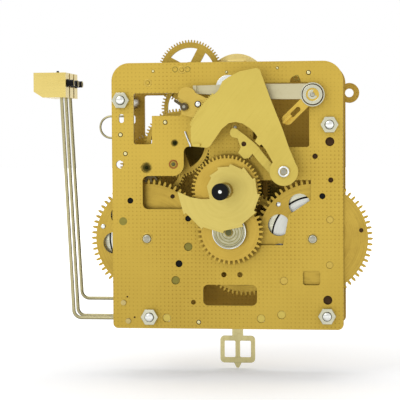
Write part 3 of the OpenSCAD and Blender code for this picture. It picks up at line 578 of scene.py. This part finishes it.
for material, names in PLAIN_FINISHES.items():
    for name in names:
        finish_cad(name, material)
for label, centres, look in TURNED_FINISHES:
    for name, centre in centres.items():
        finish_cad(name, turned_metal("%s %s" % (label, name), middle=centre, **look))
finish_cad("minute_washer", WASHER_NICKEL)
finish_cad("hour_snail", SNAIL_BRASS)

# Widths of the softened edges, in millimetres
EDGE_WIDTHS = {
    "rack": 0.16, "hour_snail": 0.14, "rack_hook": 0.16, "lifting_lever": 0.12, "steel_bar": 0.12,
    "front_plate": 0.1, "back_plate": 0.1, "suspension_cock": 0.2, "pendulum_leader": 0.14,
    "pillar_nuts": 0.25, "front_hammer_head": 0.4, "middle_hammer_head": 0.4, "rear_hammer_head": 0.4,
    "hand_nut": 0.5, "minute_washer": 0.3, "suspension_block": 0.2,
}
WELD_REACH = 0.004
EDGE_ANGLE = math.radians(38)


def soften(thing, width):
    """Rounds the sharp edges of a piece by a width in millimetres."""
    soft = thing.modifiers.new("Soft edges", "BEVEL")
    soft.width = width * MM
    soft.segments = 2
    soft.limit_method = "ANGLE"
    soft.angle_limit = EDGE_ANGLE


for name, width in EDGE_WIDTHS.items():
    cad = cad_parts[name]
    weld = cad.modifiers.new("Joined corners", "WELD")
    weld.merge_threshold = WELD_REACH * MM
    soften(cad, width)


def new_object(name, data):
    """An object of a mesh, lamp or camera, put in the scene."""
    made = bpy.data.objects.new(name, data)
    bpy.context.collection.objects.link(made)
    return made


def new_piece(name, mesh, finish, body):
    """A piece of the given mesh, in one finish, that rides on a body."""
    made = new_object(name, mesh)
    if not mesh.materials:
        mesh.materials.append(finish)
    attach(made, body)
    return made


def new_shape_tree(name, inputs):
    """A Geometry Nodes tree with named size inputs, and the outputs of its input node."""
    tree = bpy.data.node_groups.new(name, "GeometryNodeTree")
    tree.interface.new_socket("Geometry", in_out="INPUT", socket_type=GEOMETRY)
    tree.interface.new_socket("Geometry", in_out="OUTPUT", socket_type=GEOMETRY)
    for label, value in inputs:
        made = tree.interface.new_socket(label, in_out="INPUT", socket_type=FLOAT)
        made.default_value = value
    tree.interface.new_socket("Finish", in_out="INPUT", socket_type=MATERIAL)
    return tree, node(tree, "NodeGroupInput").outputs


def close_shape_tree(tree, given, shape):
    """Lays a shape built along Z out of the dial side, at each of the given points, in its finish."""
    turned = node(tree, "GeometryNodeTransform", {"Geometry": shape, "Rotation": (math.pi / 2, 0.0, 0.0)})
    spread = node(tree, "GeometryNodeInstanceOnPoints",
                  {"Points": given["Geometry"], "Instance": turned.outputs["Geometry"]})
    real = node(tree, "GeometryNodeRealizeInstances", {"Geometry": spread.outputs["Instances"]})
    finish = node(tree, "GeometryNodeSetMaterial",
                  {"Geometry": real.outputs["Geometry"], "Material": given["Finish"]})
    node(tree, "NodeGroupOutput", {"Geometry": finish.outputs["Geometry"]})
    return tree


def build_swept_ring_tree():
    """A ring round each point: its profile is an oval bead of given width and height."""
    tree, given = new_shape_tree(
        "Swept ring", [("Radius", 0.002), ("Bead width", 0.0004), ("Bead height", 0.0002), ("Sides", 40.0)])
    circle = node(tree, "GeometryNodeCurvePrimitiveCircle",
                  {"Radius": given["Radius"], "Resolution": given["Sides"]})
    bead = node(tree, "GeometryNodeCurvePrimitiveCircle", {"Radius": 1.0, "Resolution": 10})
    size = combine(tree, X=given["Bead width"], Y=given["Bead height"], Z=1.0)
    oval = node(tree, "GeometryNodeTransform", {"Geometry": bead.outputs["Curve"], "Scale": size})
    swept = node(tree, "GeometryNodeCurveToMesh",
                 {"Curve": circle.outputs["Curve"], "Profile Curve": oval.outputs["Geometry"]})
    return close_shape_tree(tree, given, swept.outputs["Mesh"])


def build_domed_stud_tree():
    """A short round stud with a domed end, standing out of the dial side at each point."""
    tree, given = new_shape_tree("Domed stud", [("Radius", 0.001), ("Length", 0.001), ("Dome", 0.0005)])
    body = node(tree, "GeometryNodeMeshCylinder",
                {"Vertices": 28, "Radius": given["Radius"], "Depth": given["Length"]})
    cap = node(tree, "GeometryNodeMeshUVSphere", {"Segments": 28, "Rings": 12, "Radius": 1.0})
    size = combine(tree, X=given["Radius"], Y=given["Radius"], Z=given["Dome"])
    lift = combine(tree, Z=multiply(tree, given["Length"], 0.5))
    crown = node(tree, "GeometryNodeTransform",
                 {"Geometry": cap.outputs["Mesh"], "Scale": size, "Translation": lift})
    both = node(tree, "GeometryNodeJoinGeometry", {"Geometry": body.outputs["Mesh"]})
    fill(tree, both.inputs["Geometry"], crown.outputs["Geometry"])
    return close_shape_tree(tree, given, both.outputs["Geometry"])


def build_slotted_screw_tree():
    """A cheese-head screw with a slot cut across it, at each point."""
    tree, given = new_shape_tree(
        "Slotted screw",
        [("Radius", 0.002), ("Height", 0.001), ("Slot width", 0.0005), ("Slot depth", 0.0005),
         ("Slot turn", 0.6)])
    head = node(tree, "GeometryNodeMeshCylinder",
                {"Vertices": 40, "Radius": given["Radius"], "Depth": given["Height"]})
    slot_size = combine(tree, X=0.05, Y=given["Slot width"], Z=multiply(tree, given["Slot depth"], 2.0))
    slot = node(tree, "GeometryNodeMeshCube", {"Size": slot_size})
    lift = combine(tree, Z=multiply(tree, given["Height"], 0.5))
    turn = combine(tree, Z=given["Slot turn"])
    moved = node(tree, "GeometryNodeTransform",
                 {"Geometry": slot.outputs["Mesh"], "Translation": lift, "Rotation": turn})
    cut = node(tree, "GeometryNodeMeshBoolean",
               {"Mesh 1": head.outputs["Mesh"], "Mesh 2": moved.outputs["Geometry"]}, operation="DIFFERENCE")
    return close_shape_tree(tree, given, cut.outputs["Mesh"])


RING_TREE = build_swept_ring_tree()
STUD_TREE = build_domed_stud_tree()
SCREW_TREE = build_slotted_screw_tree()
UNSCALED_INPUTS = ("Sides", "Slot_turn")


def grow(name, tree, places, body, finish, slot, **sizes):
    """Grows a tree's shape at each place, with sizes in millimetres, as one plain mesh on a body."""
    points = bpy.data.meshes.new(name + "_points")
    points.from_pydata([Vector(place) * MM for place in places], [], [])
    seed = new_object(name + "_points", points)
    modifier = seed.modifiers.new("Grown", "NODES")
    modifier.node_group = tree
    sockets = {item.name: item.identifier for item in tree.interface.items_tree if item.in_out == "INPUT"}
    for label, value in sizes.items():
        scale = 1.0 if label in UNSCALED_INPUTS else MM
        modifier[sockets[label.replace("_", " ")]] = float(value * scale)
    modifier[sockets["Finish"]] = finish
    seen = bpy.context.evaluated_depsgraph_get()
    mesh = bpy.data.meshes.new_from_object(seed.evaluated_get(seen))
    mesh.name = name
    bpy.data.objects.remove(seed)
    return new_piece(name, mesh, finish, body)


def at_depth(centres, depth):
    """Places on a plane along the plates."""
    return [(x, depth, z) for x, z in centres]


def on_circle(centre, radius, bearing, depth):
    """A place on a circle round an arbor, at a bearing in degrees."""
    angle = math.radians(bearing)
    return (centre[0] + radius * math.cos(angle), depth, centre[1] + radius * math.sin(angle))


def skin(name, rings, closed):
    """A mesh of rings of points in millimetres, each joined to the next, closed on itself or with ends."""
    shape = bmesh.new()
    loops = [[shape.verts.new(Vector(point) * MM) for point in ring] for ring in rings]
    pairs = list(zip(loops, loops[1:]))
    if closed:
        pairs.append((loops[-1], loops[0]))
    else:
        shape.faces.new(loops[0])
        shape.faces.new(loops[-1])
    for first, second in pairs:
        for i in range(len(first)):
            after = (i + 1) % len(first)
            shape.faces.new((first[i], first[after], second[after], second[i]))
    bmesh.ops.recalc_face_normals(shape, faces=shape.faces)
    mesh = bpy.data.meshes.new(name)
    shape.to_mesh(mesh)
    shape.free()
    return mesh


def lathe(name, profile, start, heading, finish, body, sides=32):
    """Turns a profile of (distance, radius) round an axis from a start along a heading, in millimetres."""
    axis = Vector(heading).normalized()
    side = axis.orthogonal().normalized()
    other = axis.cross(side)
    angles = [2 * math.pi * i / sides for i in range(sides)]
    reaches = [side * math.cos(angle) + other * math.sin(angle) for angle in angles]
    rings = [[Vector(start) + axis * distance + reach * radius for reach in reaches]
             for distance, radius in profile]
    mesh = skin(name, rings, closed=False)
    for face in mesh.polygons:
        face.use_smooth = True
    return new_piece(name, mesh, finish, body)


# Largest softened edge of a flat ring, height of the marks on a plate, and depth of the pins in its face
SLAB_EDGE = 0.12
PLATE_SKIN = 0.02
PIN_DEPTH = -0.05


def slab_ring(name, centre, depth, thick, inner, outer, body, finish, gap=0.0, turn=0.0, sides=48):
    """A flat ring in millimetres, open over a gap in degrees where it is a clip."""
    corners = ((inner, depth), (outer, depth), (outer, depth + thick), (inner, depth + thick))
    steps = sides if gap == 0 else sides + 1
    bearings = [turn + gap / 2 + (360 - gap) * i / sides for i in range(steps)]
    rings = [[on_circle(centre, radius, bearing, y) for radius, y in corners] for bearing in bearings]
    made = new_piece(name, skin(name, rings, closed=gap == 0), finish, body)
    soften(made, min(SLAB_EDGE, thick * 0.3))
    return made


# Bushes round the pivots of both plates, and the domed ends of the great arbors
BUSHED = (TIME_SECOND, THIRD, ESCAPE, WARNING, FLY, GATHERING, ANCHOR)
GREAT = (TIME_GREAT, STRIKE_GREAT)
GREAT_END = -0.42
GREAT_END_RIM = -0.5
grow("front_bushes", RING_TREE, at_depth(BUSHED, FRONT - PLATE_SKIN), "frame", HOOK_BRASS, "plate_brass",
     Radius=1.45, Bead_width=0.3, Bead_height=0.08)
grow("back_bushes", RING_TREE, at_depth(BUSHED + (STRIKE_SECOND, STRIKE_THIRD), BACK + PLATE_SKIN), "frame",
     HOOK_BRASS, "plate_brass", Radius=1.45, Bead_width=0.3, Bead_height=0.08)
grow("great_bushes", RING_TREE, at_depth(GREAT, FRONT - PLATE_SKIN) + at_depth(GREAT, BACK + PLATE_SKIN),
     "frame", HOOK_BRASS, "plate_brass", Radius=2.35, Bead_width=0.28, Bead_height=0.14)
for body, centre in (("time_great", TIME_GREAT), ("strike_great", STRIKE_GREAT)):
    grow(body + "_front_end", STUD_TREE, at_depth((centre,), GREAT_END), body, DARK_STEEL, "arbor_steel",
         Radius=1.6, Length=0.2, Dome=0.35)
    grow(body + "_end_rim", RING_TREE, at_depth((centre,), GREAT_END_RIM), body, NUT_NICKEL, "arbor_steel",
         Radius=1.5, Bead_width=0.24, Bead_height=0.16)
grow("spare_bush", RING_TREE, at_depth((SPARE_BUSH,), FRONT - PLATE_SKIN), "frame", COPPER, "plate_brass",
     Radius=1.75, Bead_width=0.28, Bead_height=0.15)
grow("spare_bush_pin", STUD_TREE, at_depth((SPARE_BUSH,), PIN_DEPTH), "frame", OILY_SCREW, "arbor_steel",
     Radius=0.85, Length=0.3, Dome=0.2)

# Rounded ends of the corner studs
CORNER_END = -3.7
grow("corner_stud_ends", STUD_TREE, at_depth(CORNERS, CORNER_END), "frame", END_NICKEL, "bright_steel",
     Radius=1.84, Length=0.5, Dome=0.6)

# Pegs, screws and dark bottoms in the holes of the front plate, as name, finish, radius, depth and places
HOLE_FILLINGS = (
    ("black_screws", BLACK, 1.3, 0.9, ((-45.2, -5.0), (42.1, -3.1), (-18.7, -13.2))),
    ("black_peg", BLACK, 1.52, 0.9, ((-23.0, -33.7),)),
    ("small_dark_hole_pegs", BROWN_DEPTH, 1.12, 1.0, ((45.9, 4.1), (38.9, 14.8))),
    ("dark_hole_pegs", BROWN_DEPTH, 1.95, 1.1, ((45.5, 21.3), (44.4, -49.9))),
    ("brass_fillings", LEVER_BRASS, 1.82, 0.5, ((14.3, -58.5), (-28.8, -58.5), (23.6, -56.7))),
    ("right_fillings", HOOK_BRASS, 1.53, 0.4, ((45.3, -34.1), (45.5, -13.7))),
    ("lower_filling", HOOK_BRASS, 1.72, 0.4, ((24.7, -41.3),)),
    ("green_fillings", GREEN_BRASS, 1.82, 0.5, ((-18.7, -26.0), (-24.6, -41.3))),
)
for name, finish, radius, depth, places in HOLE_FILLINGS:
    grow(name, STUD_TREE, at_depth(places, depth), "frame", finish, "plate_brass",
         Radius=radius, Length=0.3, Dome=0.12)

# Marks that stand on the face of the front plate, and painted shadows round the pins
LARGE_FACE_PINS = ((-28.9, 30.5), (-49.5, 25.0), (-47.3, 16.4), (-14.1, -60.3), (36.1, 52.3))
SMALL_FACE_PINS = ((-34.3, 53.7), (-0.8, 52.9), (22.1, 54.5))
FAINT_RINGS = ((30.7, 50.0), (-24.2, 54.4), (-18.5, 54.4))
FACE_PRICKS = ((-46.9, -48.9), (-43.6, -58.3))
GREEN_PLUG = (-48.6, -14.4)
grow("large_face_pins", STUD_TREE, at_depth(LARGE_FACE_PINS, PIN_DEPTH), "frame", LEADER_BRASS, "plate_brass",
     Radius=0.78, Length=0.2, Dome=0.22)
# A dark ring round each large pin as its painted shadow
grow("large_pin_shadow", RING_TREE, at_depth(LARGE_FACE_PINS, -PLATE_SKIN), "frame", BROWN_DEPTH, "black_metal",
     Radius=0.92, Bead_width=0.16, Bead_height=0.05)
grow("small_face_pins", STUD_TREE, at_depth(SMALL_FACE_PINS, PIN_DEPTH), "frame", LEADER_BRASS, "plate_brass",
     Radius=0.5, Length=0.1, Dome=0.16)
# A dark ring round each small pin as its painted shadow
grow("small_pin_shadow", RING_TREE, at_depth(SMALL_FACE_PINS, -PLATE_SKIN), "frame", BROWN_DEPTH, "black_metal",
     Radius=0.58, Bead_width=0.1, Bead_height=0.04)
grow("face_pricks", STUD_TREE, at_depth(FACE_PRICKS, -PLATE_SKIN), "frame", BROWN_DEPTH, "plate_brass",
     Radius=0.42, Length=0.05, Dome=0.04)
grow("green_plug", STUD_TREE, at_depth((GREEN_PLUG,), -PLATE_SKIN), "frame", GREEN_BRASS, "plate_brass",
     Radius=1.85, Length=0.06, Dome=0.05)
grow("faint_rings", RING_TREE, at_depth(FAINT_RINGS, -PLATE_SKIN / 2), "frame", GREEN_BRASS, "plate_brass",
     Radius=1.15, Bead_width=0.14, Bead_height=0.05)
slab_ring("anchor_ring", ANCHOR, -0.8, 0.78, 1.7, 5.6, "frame", END_NICKEL, sides=72)

# Stop pin that leans against the plate beside the hook
STOP_PIN_TOP = Vector((-19.9, -0.45, 26.4))
STOP_PIN_WAY = Vector((-17.2, -0.45, 19.2)) - STOP_PIN_TOP
STOP_PIN_PROFILE = (
    (0.0, 0.2), (0.12, 0.38), (0.3, 0.44), (STOP_PIN_WAY.length - 0.3, 0.44), (STOP_PIN_WAY.length, 0.2),
)
lathe("stop_pin", STOP_PIN_PROFILE, STOP_PIN_TOP, STOP_PIN_WAY, END_NICKEL, "frame")

# Soft tips of the hammers, and the wire end above the rear head
HAMMER_DEPTHS = {"front_hammer": 5.0, "middle_hammer": 14.5, "rear_hammer": 24.0}
TIP_START = -75.2
TIP_HEIGHT = 49.0
TIP_PROFILE = (
    (0.0, 1.7), (0.35, 1.85), (0.75, 1.8), (0.95, 1.55), (1.1, 1.5), (3.2, 1.5), (3.42, 1.4), (3.52, 1.1),
    (3.54, 0.5),
)
WIRE_END = (-83.6, HAMMER_DEPTHS["rear_hammer"], 53.3)
WIRE_END_PROFILE = ((0.0, 0.45), (1.3, 0.45), (1.4, 0.62), (1.9, 0.66), (2.1, 0.5), (2.2, 0.25))
for body, depth in HAMMER_DEPTHS.items():
    lathe(body + "_tip", TIP_PROFILE, (TIP_START, depth, TIP_HEIGHT), (1, 0, 0), BLACK, body)
lathe("rear_wire_end", WIRE_END_PROFILE, WIRE_END, (0, 0, 1), BLACK, "rear_hammer")

# Rivets of the great wheels, and the bright rims of the chain wheels behind them, as body, chain body,
# place, bearings of the bright and of the dark rivet, and depths of the rivets and of the rim
CHAIN_TRAINS = (
    ("time_great", "time_chain", TIME_GREAT, 135, 10, 2.9, 6.9),
    ("strike_great", "strike_chain", STRIKE_GREAT, 166, 60, 6.5, 10.5),
)
RIVET_CIRCLE = 22.0
CHAIN_DISC_EDGE = 18.45
CHAIN_RIM_INNER = 19.15
CHAIN_RIM_OUTER = 22.3
for body, chain, centre, bright_bearing, dark_bearing, rivet_depth, rim_depth in CHAIN_TRAINS:
    grow(body + "_rivet", STUD_TREE, [on_circle(centre, RIVET_CIRCLE, bright_bearing, rivet_depth)], body,
         END_NICKEL, "wheel_brass", Radius=1.1, Length=0.3, Dome=0.4)
    grow(body + "_dark_rivet", STUD_TREE, [on_circle(centre, RIVET_CIRCLE, dark_bearing, rivet_depth)], body,
         BROWN_DEPTH, "wheel_brass", Radius=1.0, Length=0.2, Dome=0.3)
    slab_ring(chain + "_rim", centre, rim_depth, 0.5, CHAIN_RIM_INNER, CHAIN_RIM_OUTER, chain,
              NUT_NICKEL, sides=96)
    slab_ring(chain + "_groove", centre, rim_depth + 0.1, 0.3, CHAIN_DISC_EDGE, CHAIN_RIM_INNER + 0.05, chain,
              BLACK, sides=96)

# Shaft end, and the grooved washer and screw of the minute wheel
SHAFT_END = (0.0, -35.98, 0.0)
WASHER_FACE = -12.8
WASHER_STEP = -11.8
WASHER_GROOVES = (3.0, 4.3, 5.6)
MINUTE_HEAD = -13.75
grow("shaft_tip", STUD_TREE, [SHAFT_END], "centre", END_NICKEL, "bright_steel",
     Radius=0.8, Length=0.1, Dome=0.25)
grow("washer_rim", RING_TREE, at_depth((MINUTE,), WASHER_STEP), "minute", END_NICKEL, "bright_steel",
     Radius=7.3, Bead_width=0.24, Bead_height=0.16, Sides=64)
for radius in WASHER_GROOVES:
    grow("washer_groove_%d" % round(radius), RING_TREE, at_depth((MINUTE,), WASHER_FACE), "minute",
         GREEN_BRASS, "bright_steel", Radius=radius, Bead_width=0.12, Bead_height=0.05, Sides=56)
grow("minute_screw", SCREW_TREE, at_depth((MINUTE,), MINUTE_HEAD), "frame", OILY_SCREW, "arbor_steel",
     Radius=1.5, Height=0.3, Slot_width=0.5, Slot_depth=0.2, Slot_turn=0.35)

# Peg of the lifting lever
LEVER_PEG = (7.7, -8.0, 20.5)
grow("lever_peg", STUD_TREE, [LEVER_PEG], "lifting", BROWN_DEPTH, "black_metal",
     Radius=1.06, Length=0.3, Dome=0.1)

# Washers of the bar's stud, with a dark ring between them as painted shadow, as name, finish, slot, depth,
# thickness, and inner and outer radius
BAR_WASHERS = (
    ("bar_under_washer", NUT_NICKEL, "bright_steel", -5.48, 0.22, 1.6, 5.35),
    ("bar_seat", FOLDED_BRASS, "wheel_brass", -6.17, 0.12, 0.4, 3.3),
    ("bar_shadow_ring", BROWN_DEPTH, "black_metal", -6.12, 0.1, 4.3, 4.85),
    ("bar_washer", NUT_NICKEL, "bright_steel", -6.75, 0.6, 2.9, 4.4),
)
BAR_HEAD = -6.5
for name, finish, slot, depth, thick, inner, outer in BAR_WASHERS:
    slab_ring(name, BAR, depth, thick, inner, outer, "frame", finish)
slab_ring("bar_clip", BAR, BAR_HEAD, 0.3, 1.05, 2.15, "frame", NUT_NICKEL, gap=100, turn=30)

# Ends and rings of the lever posts, a painted shadow ring round the hook's stud, and the screws of the rear
# cock
RACK_HEAD = -14.4
RACK_RING = -14.45
HOOK_HEAD = -10.9
COCK_FACE = 39.9
COCK_SCREWS = ((-10.6, 46.0), (10.6, 46.0))
grow("bar_stud_end", STUD_TREE, at_depth((BAR,), BAR_HEAD), "frame", DARK_STEEL, "bright_steel",
     Radius=1.0, Length=0.6, Dome=0.25)
grow("rack_ring", RING_TREE, at_depth((RACK,), RACK_RING), "frame", END_NICKEL, "bright_steel",
     Radius=2.05, Bead_width=0.5, Bead_height=0.3)
grow("rack_stud_end", STUD_TREE, at_depth((RACK,), RACK_HEAD), "frame", DARK_STEEL, "bright_steel",
     Radius=1.4, Length=0.3, Dome=0.2)
grow("hook_stud_end", STUD_TREE, at_depth((HOOK,), HOOK_HEAD), "frame", END_NICKEL, "bright_steel",
     Radius=1.15, Length=0.4, Dome=0.5)
# Dark ring round the hook's stud as its painted shadow
grow("hook_shadow_ring", RING_TREE, at_depth((HOOK,), HOOK_HEAD), "frame", BROWN_DEPTH, "black_metal",
     Radius=1.3, Bead_width=0.25, Bead_height=0.12)
grow("cock_screws", SCREW_TREE, at_depth(COCK_SCREWS, COCK_FACE), "frame", NUT_NICKEL, "bright_steel",
     Radius=2.4, Height=1.0, Slot_width=0.5, Slot_depth=0.4, Slot_turn=0.5)


def seen_rays(tree):
    """One for camera, glossy and transmission rays, and nothing for the light on the object."""
    rays = node(tree, "ShaderNodeLightPath").outputs
    seen = math_node(tree, "MAXIMUM", rays["Is Camera Ray"], rays["Is Glossy Ray"])
    return math_node(tree, "MAXIMUM", seen, rays["Is Transmission Ray"])


# Floor, white far from the object for the camera and in reflections, with the object's shadow kept near it
FLOOR_Z = CAD_BOX[0][2] - 0.0004
FLOOR_SIDE = 6.0
FLOOR_TONE = (0.93, 0.93, 0.93, 1)
WHITE = (1, 1, 1, 1)
GLOW_NEAR = 0.12
GLOW_FAR = 0.8
LEAST_GLOW = 0.16
floor_mesh = bpy.data.meshes.new("floor")
floor_corners = [(x * FLOOR_SIDE, y * FLOOR_SIDE, FLOOR_Z) for x, y in ((-1, -1), (1, -1), (1, 1), (-1, 1))]
floor_mesh.from_pydata(floor_corners, [], [(0, 1, 2, 3)])
floor = new_object("floor", floor_mesh)
floor_material, floor_tree, floor_shader, floor_place = new_metal("Pale floor", 0.0)
floor_reach = vector_math(floor_tree, "LENGTH", floor_place, output="Value")
floor_glow = remap(floor_tree, floor_reach, GLOW_NEAR, GLOW_FAR, LEAST_GLOW, 1.0)
floor_look = {
    "Base Color": FLOOR_TONE, "Roughness": 0.9, "Specular IOR Level": 0.0, "Emission Color": WHITE,
    "Emission Strength": multiply(floor_tree, floor_glow, seen_rays(floor_tree)),
}
for label, value in floor_look.items():
    fill(floor_tree, floor_shader[label], value)
floor_mesh.materials.append(floor_material)

# World, dimmer as a light than as a background
WORLD_LIGHT = 0.75
world = bpy.data.worlds.new("Studio")
bpy.context.scene.world = world
world.use_nodes = True
sky = world.node_tree
sky.nodes.clear()
sky_strength = remap(sky, seen_rays(sky), 0.0, 1.0, WORLD_LIGHT, 1.0)
background = node(sky, "ShaderNodeBackground", {"Color": WHITE, "Strength": sky_strength})
node(sky, "ShaderNodeOutputWorld", {"Surface": background.outputs["Background"]})

# Area lamps that face the middle of the object, as name, place, size in metres and power
LAMPS = (
    ("key_lamp", (-0.45, -0.65, 0.6), (0.5, 0.4), 1.9),
    ("fill_lamp", (0.7, -0.5, 0.2), (0.4, 0.6), 0.4),
    ("top_lamp", (0.0, 0.1, 0.8), (0.5, 0.5), 1.2),
)


def look_along(way):
    """The turn that points a lamp or a camera along a way."""
    return way.to_track_quat("-Z", "Y")


for name, place, size, power in LAMPS:
    light = bpy.data.lights.new(name, "AREA")
    light.shape = "RECTANGLE"
    light.size, light.size_y = size
    light.energy = power
    lamp = new_object(name, light)
    lamp.location = place
    lamp.rotation_euler = look_along(-Vector(place)).to_euler()

# Camera at the photograph's place, with its lens in millimetres
EYE = Vector((0.075, -0.695, 0.021))
AIM = Vector((-0.0132, 0.0, -0.00475))
ROLL = math.radians(-0.35)
LENS = 139.3
SENSOR = 36.0
camera_data = bpy.data.cameras.new("camera")
camera_data.lens = LENS
camera_data.sensor_width = SENSOR
camera_data.clip_start = 0.01
camera = new_object("camera", camera_data)
camera.location = EYE
upright = look_along(AIM - EYE).to_matrix().to_4x4()
camera.rotation_euler = (upright @ Matrix.Rotation(ROLL, 4, "Z")).to_euler()
bpy.context.scene.camera = camera
bpy.context.scene.view_settings.view_transform = "Standard"
